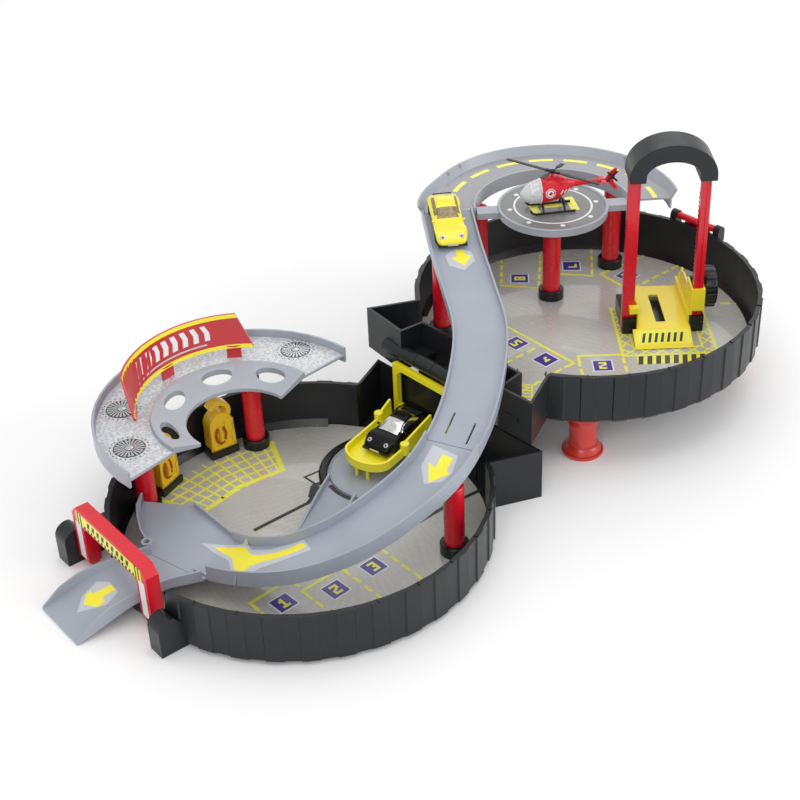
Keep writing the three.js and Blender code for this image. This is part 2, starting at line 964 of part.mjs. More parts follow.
function buildRamps() {
  const stretch = gap / route.getLength();
  const slots = slotShares.map((share, k) => {
    const at = route.getPointAt(share);
    const heading = route.getTangentAt(share);
    const side = k === 0 ? -ramp.slotOut : ramp.slotOut;
    return bounds(
      [-ramp.slotLength / 2, ramp.slotLength / 2],
      [side - ramp.slot / 2, side + ramp.slot / 2],
      [-ramp.skirt - overrun, ramp.upperKerb],
    )
      .rotateZ(Math.atan2(heading.y, heading.x))
      .translate(at.x, at.y, at.z);
  });
  const upper = cut(channel(0, joinShare - stretch, 30, ramp.upperKerb), ...slots);
  add(garage, "upper_ramp", upper, "road");

  const seamIn = gatePoint(chuteEdges[0].left, -gap);
  const seamOut = gatePoint(chuteEdges[0].right, -gap);
  const corners = plateShares.map(([x, y]) => [x * tray.radius, y * tray.radius]);
  const plate = prism([...corners, seamIn, seamOut], gateRoad - ramp.sheet, gateRoad);
  const low = gateRoad - ramp.skirt;
  const high = gateRoad + ramp.lowerKerb;
  const wall = ribbon([...corners.slice(2), seamIn], ramp.kerb, low, high);
  const innerWall = ribbon(corners.slice(0, 2), ramp.kerb, low, gateRoad + ramp.innerKerb);
  const eyeX = seamIn[0] + ramp.kerb;
  const eyeY = seamIn[1] + ramp.eyelet;
  const eyelet = disc(ramp.eyelet, gateRoad - ramp.sheet, high, eyeX, eyeY, 12);
  const eye = disc(ramp.eye, low, high + overrun, eyeX, eyeY, 12);
  const mouth = bounds(
    [seamIn[0] - ramp.half, seamOut[0] + ramp.half / 3],
    [seamOut[1], ramp.half * 2],
    [gateRoad + ramp.mouthUp, gateRoad * 2],
  );
  const beyond = bounds([-tray.radius, seamOut[0] - gap], [-ramp.half, ramp.half], [0, tray.height]);
  const run = cut(channel(joinShare + stretch, 1, 30, ramp.lowerKerb), mouth, beyond);
  add(garage, "lower_ramp", cut(join(run, plate, wall, innerWall, eyelet), eye), "road");
  const upperTop = postTopUnder(upperRampPost, ramp.sheet, ramp.half + post.radius);
  addPost("upper_ramp_post", upperRampPost, upperZ, upperTop);
  const lowerTop = postTopUnder(rampPost, ramp.skirt, post.radius + ramp.kerb);
  addPost("lower_ramp_post", rampPost, 0, lowerTop);
}

// A wall of even thickness on a plan line, to the left of its course
function ribbon(line, thickness, bottom, top) {
  const normals = line.map((_, i) => {
    const before = line[Math.max(i - 1, 0)];
    const after = line[Math.min(i + 1, line.length - 1)];
    const length = Math.hypot(after[0] - before[0], after[1] - before[1]);
    return [-(after[1] - before[1]) / length, (after[0] - before[0]) / length];
  });
  const far = line.map(([x, y], i) => [x + normals[i][0] * thickness, y + normals[i][1] * thickness]);
  return prism([...line, ...far.reverse()], bottom, top);
}

// Gate

// Left and right edges of the exit chute in the gate's frame, from the ramp's foot to the ground:
// plan places in shares of the tray radius, heights in shares of the ramp's own
const chuteShares = [
  { left: [-0.22, -0.013], right: [-0.313, 0.333], road: 1, kerb: 0.94 },
  { left: [-0.133, -0.053], right: [-0.167, 0.263], road: 0.955, kerb: 0.82 },
  { left: [-0.06, -0.08], right: [-0.08, 0.241], road: 0.891, kerb: 0.76 },
  { left: [0.033, -0.103], right: [0.033, 0.229], road: 0.791, kerb: 0.88 },
  { left: [0.133, -0.123], right: [0.133, 0.217], road: 0.568, kerb: 1.18 },
  { left: [0.233, -0.141], right: [0.233, 0.204], road: 0.309, kerb: 1.06 },
  { left: [0.33, -0.157], right: [0.33, 0.191], road: 0.096, kerb: 0.12 },
];
const chuteEdges = chuteShares.map(({ left, right, road, kerb }) => ({
  left: left.map((share) => share * tray.radius),
  right: right.map((share) => share * tray.radius),
  road: road * gateRoad,
  kerb: kerb * ramp.lowerKerb,
}));

// A place in the gate's frame, moved along its x, in plan
function gatePoint([x, y], shift = 0) {
  const at = new THREE.Vector3(x + shift, y, 0).applyMatrix4(gateFrame.matrix);
  return [at.x, at.y];
}

function buildGate() {
  const rings = chuteEdges.map(({ left, right, road, kerb }) => {
    const length = Math.hypot(right[0] - left[0], right[1] - left[1]);
    const at = (share, z) => [
      left[0] + (right[0] - left[0]) * share,
      left[1] + (right[1] - left[1]) * share,
      z,
    ];
    const edge = chute.kerb / length;
    const under = road - chute.sheet;
    return [
      at(0, under),
      at(1, under),
      at(1, road + kerb),
      at(1 - edge, road + kerb),
      at(1 - edge, road),
      at(edge, road),
      at(edge, road + kerb),
      at(0, road + kerb),
    ];
  });
  const mouth = rings[0].map(([, y, z]) => [y, z]);
  const group = frame(garage, gate.x, gate.y, gate.turn);
  add(group, "exit_chute", loft(rings, mouth), "road");

  const foot = arch.pivot - arch.foot;
  const inner = arch.half - arch.leg;
  const under = arch.top - arch.bar;
  const bevel = arch.bevel;
  const half = [
    [arch.half, foot],
    [arch.half, arch.top - bevel],
    [arch.half - bevel, arch.top],
  ];
  const opening = [
    [-inner, foot],
    [-inner, under - bevel / 2],
    [-inner + bevel / 2, under],
    [inner - bevel / 2, under],
    [inner, under - bevel / 2],
    [inner, foot],
  ];
  const shape = [...half, ...half.map(([y, z]) => [-y, z]).reverse(), ...opening];
  const frameBody = frontPrism(shape, -arch.depth, 0);
  const corner = arch.toe;
  const chamfers = [-arch.depth, 0].map((x) => {
    const inward = x < 0 ? 1 : -1;
    return sidePrism(
      [
        [x - inward * overrun, foot - overrun],
        [x + inward * corner, foot - overrun],
        [x + inward * corner, foot],
        [x, foot + corner],
        [x - inward * overrun, foot + corner],
      ],
      -arch.half - overrun,
      arch.half + overrun,
    );
  });
  const band = frontPrism(
    [
      [-arch.half + bevel, under + bevel / 2],
      [arch.half - bevel, under + bevel / 2],
      [arch.half - bevel, arch.top - bevel / 2],
      [-arch.half + bevel, arch.top - bevel / 2],
    ],
    -arch.band,
    overrun,
  );
  const pins = [-1, 1].map((side) => {
    const near = side > 0 ? lug.front : lug.back;
    const reach = [side * (arch.half - overrun), side * (near + lug.seat)];
    return rodY(lug.pin, ...reach, -arch.depth / 2, arch.pivot);
  });
  add(group, "entrance_arch", join(cut(frameBody, ...chamfers, band), ...pins), "red");
}

// Fuel pumps

function buildPumps() {
  const half = pump.width / 2;
  const front = -pump.depth / 2;
  const low = cardTop + pump.base + gap;
  const shoulder = low + pump.body - half;
  const hoopZ = shoulder + half;
  for (const [side, place] of Object.entries(pumpPlaces)) {
    const group = frame(garage, place.x, place.y, place.turn);
    const base = bounds(
      [-half - pump.foot, half + pump.foot],
      [front - pump.foot, -front],
      [cardTop + gap, cardTop + pump.base],
    );
    add(group, "pump_base_" + side, base, "black");
    const shape = new THREE.Shape();
    shape.moveTo(-half, low);
    shape.lineTo(half, low);
    shape.lineTo(half, shoulder);
    shape.absarc(0, shoulder, half, 0, 180 * DEG, false);
    const well = bounds(
      [-pump.well, pump.well],
      [front - overrun, front + pump.wellDepth],
      [low + pump.sill, shoulder],
    );
    const nozzle = bounds(
      [-pump.nozzle, pump.nozzle],
      [front, 0],
      [low + pump.sill + pump.nozzleGap, shoulder - pump.nozzleGap],
    );
    const hoop = sidePrism(hoopShape(hoopZ), -pump.hoopDepth / 2, pump.hoopDepth / 2);
    const body = cut(sidePrism(shape, front, -front), well);
    add(group, "fuel_pump_" + side, join(body, hoop, nozzle), "yellow");
  }
}

// The open hoop on top of a pump: most of a ring, clear on one side
function hoopShape(z) {
  const shape = new THREE.Shape();
  shape.absarc(0, z, pump.hoop, -60 * DEG, 150 * DEG, false);
  shape.absarc(0, z, pump.hoopInner, 150 * DEG, -60 * DEG, true);
  return shape;
}

// Turntable, lane and tipping platform

function buildHoist() {
  const low = cardTop + gap;
  const top = low + table.thickness;
  const plate = disc(table.radius, low, top, table.x, table.y, SIDES * 2);
  const bore = disc(table.pivot, low - overrun, top + overrun, table.x, table.y);
  add(garage, "turntable", cut(plate, bore), "deck");
  add(garage, "launch_lane", launchLane(low), "road");

  const place = (geometry) => geometry.rotateZ(hoist.heading * DEG).translate(hoist.x, hoist.y, 0);
  add(garage, "hoist_frame", hoistFrame(place), "bright");
  const span = hoist.width / 2;
  add(garage, "hoist_pin", place(rodY(hoist.pin, -span, span, 0, hoist.pivot)), "black");
  const group = frame(garage, hoist.x, hoist.y, hoist.heading, hoist.pivot);
  add(group, "hoist_platform", tippingPlatform(top + gap - hoist.pivot), "bright");
}

// The trough that leads away from the turntable
function launchLane(low) {
  const half = lane.width / 2;
  const back = -lane.height;
  const sheet = bounds([back, lane.length], [-half, half], [low, low + lane.sheet]);
  const profile = [
    [back, low],
    [lane.length, low],
    [lane.length, low + lane.sheet],
    [lane.length / 3, low + lane.height],
    [back, low + lane.height],
  ];
  const kerbs = [half - lane.wall, -half].map((side) => sidePrism(profile, side, side + lane.wall));
  const trough = join(sheet, ...kerbs)
    .rotateZ(lane.heading * DEG)
    .translate(lane.x, lane.y, 0);
  const above = low + lane.height + overrun;
  const sweep = disc(table.radius + gap, low - overrun, above, table.x, table.y, SIDES * 2);
  return cut(trough, sweep);
}

// The standing portal, with two ears turned to the platform's heading for its hinge pin
function hoistFrame(place) {
  const sides = [portal.right, portal.left];
  const x = [portal.x - portal.depth / 2, portal.x + portal.depth / 2];
  const legs = [
    [portal.right, portal.right + portal.bar],
    [portal.left - portal.bar, portal.left],
  ].map((y) => bounds(x, y, [tray.floor + gap, portal.top]));
  const bar = bounds(x, sides, [portal.top - portal.bar, portal.top]);
  const sill = bounds(x, sides, [portal.sill - portal.bar, portal.sill]);
  const gusset = frontPrism(
    [
      [portal.left - portal.bar, portal.top - portal.bar],
      [portal.left - portal.bar * 2, portal.top - portal.bar],
      [portal.left - portal.bar, portal.top - portal.bar * 2],
    ],
    ...x,
  );
  const span = hoist.width / 2;
  const ears = [-1, 1].map((side) => {
    const outer = side * span;
    const inner = side * (span - hoist.wall * 2);
    return place(
      bounds(
        [-hoist.barrel * 4, hoist.barrel],
        side > 0 ? [inner, outer] : [outer, inner],
        [portal.sill - portal.bar, hoist.pivot + hoist.barrel],
      ),
    );
  });
  const behind = bounds([x[1], x[1] + tray.radius], [-tray.radius, tray.radius], [0, tray.radius]);
  const pinHole = place(rodY(hoist.pin + gap, -span - overrun, span + overrun, 0, hoist.pivot));
  return cut(join(...legs, bar, sill, gusset, ...ears), pinHole, behind);
}

// The tipping platform about its hinge axis: x to its nose, with a foot that reaches down to the turntable
function tippingPlatform(footing) {
  const span = hoist.width / 2;
  const reach = span - hoist.wall * 2 - gap;
  const tilt = Math.atan2(hoist.drop, hoist.length);
  const start = hoist.barrel + overrun;
  const nose = hoist.length - hoist.noseLength;
  const tub = (inward) => {
    const plan = new THREE.Shape();
    const side = span - inward;
    plan.moveTo(start - inward, -side);
    plan.lineTo(nose, -side);
    plan.absellipse(nose, 0, hoist.noseLength - inward, side, -90 * DEG, 90 * DEG, false);
    plan.lineTo(start - inward, side);
    return plan;
  };
  const bowl = cut(
    prism(tub(0), -hoist.sheet, hoist.rim),
    prism(tub(hoist.wall), 0, hoist.rim + overrun),
  );
  const walls = [-1, 1].map((side) => {
    const end = side > 0 ? hoist.sideFront : hoist.sideBack;
    const profile = new THREE.Shape();
    profile.moveTo(start, hoist.rim - hoist.wall);
    profile.lineTo(end, hoist.rim - hoist.wall);
    profile.absarc(end - hoist.roll, hoist.rim, hoist.roll, 0, 90 * DEG, false);
    profile.lineTo(start, hoist.rim + hoist.sideTop);
    return side > 0
      ? sidePrism(profile, span - hoist.wall, span)
      : sidePrism(profile, -span, -span + hoist.wall);
  });
  const rolls = [-1, 1].map((side) => {
    const x = (side > 0 ? hoist.sideFront : hoist.sideBack) - hoist.roll;
    return disc(hoist.roll, 0, hoist.rim + hoist.roll, x, side * span, SIDES / 2);
  });
  const dish = join(bowl, ...walls, ...rolls)
    .rotateY(tilt)
    .translate(0, 0, hoist.rise);
  const barrel = rodY(hoist.barrel, -reach, reach, 0, 0);
  const neck = bounds([0, start + hoist.wall], [-reach, reach], [0, hoist.rise - hoist.sheet / 2]);
  const prongs = [-1, 1].map((side) => {
    const at = hoist.length - hoist.wall * 2;
    const y = (side * hoist.prongSpread) / 2;
    const under = hoist.rise - hoist.sheet / 2 - at * Math.tan(tilt);
    return bounds([at - hoist.prong, at], [y - hoist.prong / 2, y + hoist.prong / 2], [footing, under]);
  });
  const bored = rodY(hoist.pin + gap, -span, span, 0, 0);
  return cut(join(dish, barrel, neck, ...prongs), bored);
}

// Lift

const toothModule = (2 * pinion.radius) / pinion.teeth;
const dedendum = pinion.dedendumShare * toothModule;
const backlash = Math.PI * toothModule * pinion.backlashShare;
const pressureLean = Math.tan(pinion.pressure * DEG);
const pitchLine = lift.railFront + lift.railWidth;
const railBack = pitchLine - dedendum;
const knobZ = cabin.bracketHigh - cap.side;
const knobY = pitchLine + pinion.radius;
const railHalf = lift.railWidth / 2;

// A rail, with a rack of teeth along its back where the pinion climbs
function liftRail(centre, withRack) {
  const x = [centre - railHalf, centre + railHalf];
  const body = bounds(x, [lift.railFront, railBack], [upperCardTop + overrun, lift.railTop]);
  if (!withRack) return body;
  const teeth = [];
  const step = Math.PI * toothModule;
  const tipHalf = step / 4 - toothModule * pressureLean - backlash / 2;
  const rootHalf = step / 4 + dedendum * pressureLean - backlash / 2;
  const first = Math.ceil((lift.baseTop - knobZ) / step);
  const last = Math.floor((lift.railTop - lift.rackStop - knobZ) / step);
  for (let k = first; k < last; k++) {
    const z = knobZ + (k + 0.5) * step;
    const tooth = [
      [railBack - gap, z - rootHalf],
      [railBack, z - rootHalf],
      [pitchLine + toothModule, z - tipHalf],
      [pitchLine + toothModule, z + tipHalf],
      [railBack, z + rootHalf],
      [railBack - gap, z + rootHalf],
    ];
    teeth.push(frontPrism(tooth, ...x));
  }
  const groove = bounds(
    [centre - lift.groove / 2, centre + lift.groove / 2],
    [lift.railFront - overrun, lift.railFront + lift.grooveDepth],
    [lift.baseTop, lift.railTop + overrun],
  );
  return cut(join(body, ...teeth), groove);
}

// A gear outline about the origin with one tooth on the given bearing
function gearShape(bearing) {
  const points = [];
  const tip = pinion.radius + toothModule;
  const root = pinion.radius - dedendum;
  const half = Math.PI / 2 / pinion.teeth - backlash / 2 / pinion.radius;
  const tipHalf = half - (toothModule * pressureLean) / tip;
  const rootHalf = half + (toothModule * pressureLean) / root;
  for (let i = 0; i < pinion.teeth; i++) {
    const at = bearing + (i * 2 * Math.PI) / pinion.teeth;
    const spots = [
      [root, -rootHalf],
      [tip, -tipHalf],
      [tip, tipHalf],
      [root, rootHalf],
    ];
    for (const [r, turn] of spots) points.push([r * Math.cos(at + turn), r * Math.sin(at + turn)]);
  }
  return points;
}

// Room for a rail in the base or in the cap
const railRoom = (centre, z) =>
  bounds(
    [centre - railHalf - gap, centre + railHalf + gap],
    [lift.railFront - gap, railBack + gap],
    z,
  );

function liftCap() {
  const middle = (lift.railLeft + lift.railRight) / 2;
  const outer = middle - lift.railLeft + cap.side;
  const inner = middle - lift.railLeft - cap.side;
  const shape = new THREE.Shape();
  shape.moveTo(middle + inner, cap.foot);
  shape.lineTo(middle + outer, cap.foot);
  shape.absellipse(middle, cap.spring, outer, cap.outer, 0, 180 * DEG, false);
  shape.lineTo(middle - outer, cap.foot);
  shape.lineTo(middle - inner, cap.foot);
  shape.absellipse(middle, cap.spring, inner, cap.inner, 180 * DEG, 0, true);
  const holes = [lift.railLeft, lift.railRight].map((centre) =>
    railRoom(centre, [cap.foot - overrun, lift.railTop + gap]),
  );
  return cut(sidePrism(shape, cap.front, cap.back, 14), ...holes);
}

const wallIn = lift.railRight - railHalf - running - cabin.wall;
const wallOut = lift.railRight + railHalf + running;

function buildLift() {
  const group = frame(garage, lift.x, lift.y, lift.turn);
  const low = upperCardTop + gap;
  const socketLow = upperCardTop + overrun - gap;
  for (const [side, centre] of Object.entries({ left: lift.railLeft, right: lift.railRight })) {
    add(group, "lift_rail_" + side, liftRail(centre, side === "right"), "red");
    const shell = railHalf + lift.baseWall;
    const footprint = [[centre - shell, centre + shell], [lift.baseFront, lift.baseBack]];
    const socket = railRoom(centre, [socketLow, lift.baseTop + overrun]);
    add(group, "lift_base_" + side, cut(bounds(...footprint, [low, lift.baseTop]), socket), "black");
  }
  add(group, "lift_cap", liftCap(), "black");
  add(group, "lift_cabin", liftCabin(), "yellow");

  const knobX = wallOut + cabin.wall + gap;
  const hub = rodX(pinion.axle, wallIn + gap, knobX + gap, knobY, knobZ);
  const wheel = rodX(pinion.knob, knobX, knobX + pinion.knobWidth, knobY, knobZ, 36);
  add(group, "lift_knob", join(wheel, hub), "black");
  const gearX = [lift.railRight - railHalf + gap, lift.railRight + railHalf - gap];
  const gear = frontPrism(gearShape(Math.PI), ...gearX).translate(0, knobY, knobZ);
  const bore = rodX(pinion.axle + pinion.snug, wallIn, wallOut, knobY, knobZ);
  add(group, "lift_pinion", cut(gear, bore), "black");
}

function liftCabin() {
  const { left, right, front, back, floor, wall, wallTop, wallFront } = cabin;
  const under = floor - cabin.sheet;
  const skirtLow = upperCardTop + cabin.lip;
  const ledge = lift.baseTop + cabin.ledgeUp;
  const plate = bounds([left, right], [front, back], [under, floor]);
  const slot = bounds(
    [cabin.slotLeft, cabin.slotRight],
    [cabin.slotFront, cabin.slotBack],
    [under - overrun, floor + overrun],
  );
  const entry = frontPrism(
    [
      [cabin.rampFront, skirtLow - gap],
      [front + gap, under],
      [front + gap, floor],
      [cabin.rampFront + cabin.lip, skirtLow + gap],
    ],
    cabin.rampLeft,
    right,
  );
  const skirts = [left, right - wall].map((x) => bounds([x, x + wall], [front, back], [skirtLow, floor]));
  const rise = bounds([right - wall, right], [wallFront, back], [under, ledge + wall]);
  const shelf = bounds([right - wall, wallIn + wall], [wallFront, back], [ledge, ledge + wall]);
  const tooth = (back - lift.baseBack) / 4;
  const panel = frontPrism(
    [
      [wallFront, ledge],
      [back, ledge],
      [back, cabin.notchLow],
      [back - tooth, cabin.notchHigh],
      [back - tooth * 1.4, cabin.notchDeep],
      [back - tooth * 2.6, wallTop],
      [back - tooth * 3, cabin.notchTop],
      [back - tooth * 4, wallTop],
      [wallFront, wallTop],
    ],
    wallIn,
    wallIn + wall,
  );
  const bracketFront = lift.railFront - running - wall;
  const bracketY = [bracketFront, knobY + cabin.holderBack];
  const bracketZ = [cabin.bracketLow, cabin.bracketHigh];
  const outer = bounds([wallOut, wallOut + wall], bracketY, bracketZ);
  const inner = bounds([wallIn, wallIn + wall], bracketY, bracketZ);
  const face = bounds([wallIn, wallOut + wall], [bracketFront, bracketFront + wall], bracketZ);
  const holderX = [wallIn - overrun, wallOut + wall + overrun];
  const holder = rodX(pinion.axle + gap, ...holderX, knobY, knobZ);
  const clipFront = bracketFront - cabin.clipReach;
  const clipBack = railBack + running + cabin.clipReach;
  const leftWall = bounds([left, left + wall], [clipFront, clipBack], [under, cabin.clipHigh]);
  const clips = [
    [clipFront, lift.railFront - running],
    [railBack + running, clipBack],
  ].map((y) => bounds([lift.railLeft - cabin.clipIn, left + wall], y, [cabin.clipLow, cabin.clipHigh]));
  const body = join(plate, entry, ...skirts, rise, shelf, panel, outer, inner, face, leftWall, ...clips);
  return cut(body, slot, holder);
}

// Latch

function buildLatch() {
  const x = upperX + tray.radius + latch.pin;
  const bar = rodY(latch.bar, -latch.half, latch.half, x, latch.axis);
  const reach = latch.half + latch.seat;
  const pin = rodY(latch.pin, -reach, reach, x, latch.axis);
  const y = [-latch.width / 2, latch.width / 2];
  const low = latch.axis - latch.drop;
  const plate = bounds([x, x + latch.plate], y, [low, latch.axis]);
  const hook = bounds([x - latch.hook, x + latch.plate], y, [low, low + latch.plate]);
  add(garage, "latch_bar", join(bar, pin, plate, hook), "red");
}

// Vehicles, each in its own frame: x forwards, wheels on z = 0

// A car's side outline above its sill, in shares of its length and of its height above the sill
const bodyShares = [
  [-0.49, 0.05],
  [0.49, 0.05],
  [0.5, 0.25],
  [0.44, 0.42],
  [0.2, 0.55],
  [0.04, 0.98],
  [-0.2, 1],
  [-0.4, 0.62],
  [-0.5, 0.55],
];

function buildCar(name, group, look) {
  const half = car.width / 2;
  const sill = car.clear + car.pan;
  const profile = bodyShares.map(([x, z]) => [x * car.length, sill + z * (car.height - sill)]);
  const above = car.height + overrun;
  const tumble = [-1, 1].map((side) =>
    frontPrism(
      [
        [side * (half + overrun), car.waist],
        [side * (half + overrun), above],
        [side * (half - car.tumble), above],
        [side * half, car.waist],
      ],
      -car.length,
      car.length,
    ),
  );
  const axles = [-car.base / 2, car.base / 2];
  const arches = axles.map((x) =>
    rodY(car.wheel + car.archGap, -half - overrun, half + overrun, x, car.wheel),
  );
  add(group, name + "_body", cut(sidePrism(profile, -half, half), ...tumble, ...arches), look);

  const inside = half - car.tread - car.inset;
  const panHalf = car.panLength / 2;
  const pan = bounds([-panHalf, panHalf], [-inside, inside], [car.clear, sill - gap]);
  const saddles = axles.map((x) =>
    bounds([x - car.saddle, x + car.saddle], [-inside, inside], [car.clear, car.wheel + car.saddle]),
  );
  const bores = axles.map((x) => rodY(car.axle + gap, -half, half, x, car.wheel, 12));
  add(group, name + "_chassis", cut(join(pan, ...saddles), ...bores), "black");

  ["rear", "front"].forEach((end, k) => {
    const wheels = [-1, 1].map((side) =>
      rodY(car.wheel, side * (half - car.inset), side * (half - car.tread), axles[k], car.wheel),
    );
    const shaft = rodY(car.axle, car.tread - half, half - car.tread, axles[k], car.wheel, 12);
    add(group, name + "_" + end + "_wheels", join(...wheels, shaft), "tyre");
  });
}

// A car's frame on a road point, with its heading and its nose-down dip
function pitched(x, y, z, heading, dip) {
  const group = new THREE.Group();
  group.position.set(x, y, z);
  group.rotation.set(0, dip, heading, "ZYX");
  garage.add(group);
  return group;
}

function buildVehicles() {
  const rear = route.getPointAt(parked.seam / route.getLength());
  const front = route.getPointAt((parked.seam + car.base) / route.getLength());
  const middle = rear.clone().lerp(front, 0.5);
  const heading = Math.atan2(front.y - rear.y, front.x - rear.x);
  const dip = Math.asin((rear.z - front.z) / rear.distanceTo(front));
  const acrossX = parked.across * Math.sin(heading);
  const acrossY = -parked.across * Math.cos(heading);
  const onRamp = pitched(middle.x + acrossX, middle.y + acrossY, middle.z + parked.lift, heading, dip);
  buildCar("yellow_car", onRamp, "carYellow");

  const tilt = Math.atan2(hoist.drop, hoist.length);
  const [seatX, seatY] = polar(hoist, parked.seat, hoist.heading);
  const asideX = -parked.aside * Math.sin(hoist.heading * DEG);
  const asideY = parked.aside * Math.cos(hoist.heading * DEG);
  const seatZ = hoist.pivot + hoist.rise - parked.seat * Math.tan(tilt) + gap;
  const onHoist = pitched(seatX + asideX, seatY + asideY, seatZ, hoist.heading * DEG, tilt);
  buildCar("black_car", onHoist, "carBlack");
  buildCopter();
}

// The helicopter's cabin from the side, in shares of its length and height
const cabinShares = [
  [-0.27, 0.35],
  [-0.05, 0.02],
  [0.24, 0],
  [0.28, 0.62],
  [0.1, 0.95],
  [-0.18, 0.9],
  [-0.3, 0.68],
];

// Toy helicopter on the pad: x forwards, skids on z = 0
function buildCopter() {
  const group = frame(garage, copter.x, copter.y, copter.heading, pad.top + gap);
  const { length, pod, width, height, belly, mast, skid } = copter;
  const half = width / 2;
  const hull = sidePrism(
    cabinShares.map(([x, z]) => [x * pod, belly + z * height]),
    -half,
    half,
  );
  const boomZ = belly + height * 0.65;
  const boomHalf = copter.boom / 2;
  const boom = bounds([-length, -length / 4], [-boomHalf, boomHalf], [boomZ - boomHalf, boomZ + boomHalf]);
  const finTop = belly + height * 1.15;
  const fin = sidePrism(
    [
      [-length, boomZ - boomHalf],
      [-length * 0.86, boomZ - boomHalf],
      [-length * 0.98, finTop],
      [-length * 1.08, finTop],
    ],
    -copter.fin / 2,
    copter.fin / 2,
  );
  const shaft = disc(copter.shaft, belly + height * 0.9, mast - gap, 0, 0, 12);
  add(group, "helicopter_body", join(hull, boom, fin, shaft), "red");

  const glassX = pod * 0.28;
  const bubble = new THREE.SphereGeometry(1, 14, 8)
    .scale(pod * 0.15, half * 0.92, height * 0.4)
    .translate(glassX, 0, belly + height * 0.44);
  const hullSide = bounds([-length, glassX + gap], [-width, width], [0, mast * 2]);
  add(group, "helicopter_canopy", cut(bubble, hullSide), "glass");

  const { runner, strut, stalk } = copter;
  const runners = [-1, 1].map((side) => rodX(runner, -skid / 2, skid / 2, side * half, runner, 8));
  const struts = [-skid / 4, skid / 4].map((x) =>
    bounds([x - strut / 2, x + strut / 2], [-half, half], [runner, runner + strut]),
  );
  const post = bounds([-skid / 3, skid / 3], [-stalk / 2, stalk / 2], [runner + gap, belly - gap]);
  add(group, "helicopter_skids", join(...runners, ...struts, post), "black");

  const bladeLow = mast + copter.bladeUp;
  const blades = bounds(
    [-copter.rotor, copter.rotor],
    [-copter.blade / 2, copter.blade / 2],
    [bladeLow, bladeLow + copter.bladeSheet],
  ).rotateZ(copter.rotorTurn * DEG);
  const hub = disc(copter.hub, mast, mast + copter.hubHeight, 0, 0, 12);
  add(group, "main_rotor", join(blades, hub), "black");

  const tailX = -length * 0.98;
  const tailZ = belly + height * 0.85;
  const tailY = boomHalf + gap;
  const tail = copter.tailTurns.map((angle) =>
    bounds(
      [-copter.tail, copter.tail],
      [tailY + gap, tailY + gap + copter.tailSheet],
      [-copter.tailBlade / 2, copter.tailBlade / 2],
    )
      .rotateY(angle * DEG)
      .translate(tailX, 0, tailZ),
  );
  const tailHub = rodY(copter.tailHub, tailY, tailY + copter.tailHub, tailX, tailZ, 12);
  add(group, "tail_rotor", join(...tail, tailHub), "black");
}

buildCase();
buildRing();
buildShop();
buildBoard();
buildRamps();
buildGate();
buildPumps();
buildHoist();
buildLift();
buildLatch();
buildVehicles();

export default garage;
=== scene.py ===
"""A toy parking garage with lift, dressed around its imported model.

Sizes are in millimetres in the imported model's own frame: the origin is the lower tray's centre on the
ground, +X runs to the upper tray and +Z is up. Meshes are written in metres.
"""

from __future__ import annotations

import json
import logging
import math
from dataclasses import dataclass, field
from enum import Enum
from functools import partial
from typing import Callable, Iterable, Sequence

import bmesh
import bpy
from mathutils import Matrix, Vector
from mathutils.bvhtree import BVHTree

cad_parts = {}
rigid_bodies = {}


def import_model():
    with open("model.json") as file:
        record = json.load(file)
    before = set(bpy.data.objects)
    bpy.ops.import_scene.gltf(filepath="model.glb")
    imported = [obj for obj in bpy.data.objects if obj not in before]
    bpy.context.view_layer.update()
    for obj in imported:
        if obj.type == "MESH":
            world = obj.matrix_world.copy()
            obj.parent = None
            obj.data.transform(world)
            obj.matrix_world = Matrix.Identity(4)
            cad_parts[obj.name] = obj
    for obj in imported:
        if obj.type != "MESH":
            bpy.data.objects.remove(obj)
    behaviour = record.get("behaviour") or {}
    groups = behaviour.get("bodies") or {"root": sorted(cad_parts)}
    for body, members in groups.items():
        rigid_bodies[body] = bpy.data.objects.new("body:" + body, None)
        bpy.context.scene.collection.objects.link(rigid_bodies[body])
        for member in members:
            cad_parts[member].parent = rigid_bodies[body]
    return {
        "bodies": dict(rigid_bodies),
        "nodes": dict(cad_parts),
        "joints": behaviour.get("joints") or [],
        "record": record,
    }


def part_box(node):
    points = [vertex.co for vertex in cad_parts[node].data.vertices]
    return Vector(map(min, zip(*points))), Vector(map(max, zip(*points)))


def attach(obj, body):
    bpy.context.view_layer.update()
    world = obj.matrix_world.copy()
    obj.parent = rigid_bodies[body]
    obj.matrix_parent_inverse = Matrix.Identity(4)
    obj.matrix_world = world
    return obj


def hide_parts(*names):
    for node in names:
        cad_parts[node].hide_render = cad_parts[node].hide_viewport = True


log = logging.getLogger("toy_garage")

MM = 0.001
FULL_TURN = 2 * math.pi

Plan = tuple[float, float]
Spot = tuple[float, float, float]
Colour = tuple[float, float, float]
Outline = Sequence[Plan]
Height = Callable[[float, float], float | None]
Mesh = bpy.types.Mesh
Thing = bpy.types.Object
Tree = bpy.types.NodeTree
Node = bpy.types.Node
Socket = bpy.types.NodeSocket


class Body(str, Enum):
    """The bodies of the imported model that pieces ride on."""

    BASE = "base"
    ARCH = "arch"
    CABIN = "cabin"
    KNOB = "knob"
    TURNTABLE = "turntable"
    HOIST = "hoist"
    LATCH = "latch"
    MAIN_ROTOR = "main_rotor"
    TAIL_ROTOR = "tail_rotor"


def linear(hex_colour: str) -> Colour:
    """Turn a printed colour such as c8102e into scene-linear red, green and blue."""
    shares = [int(hex_colour[i : i + 2], 16) / 255 for i in (0, 2, 4)]
    return tuple(s / 12.92 if s <= 0.04045 else ((s + 0.055) / 1.055) ** 2.4 for s in shares)


# Shader groups and finishes


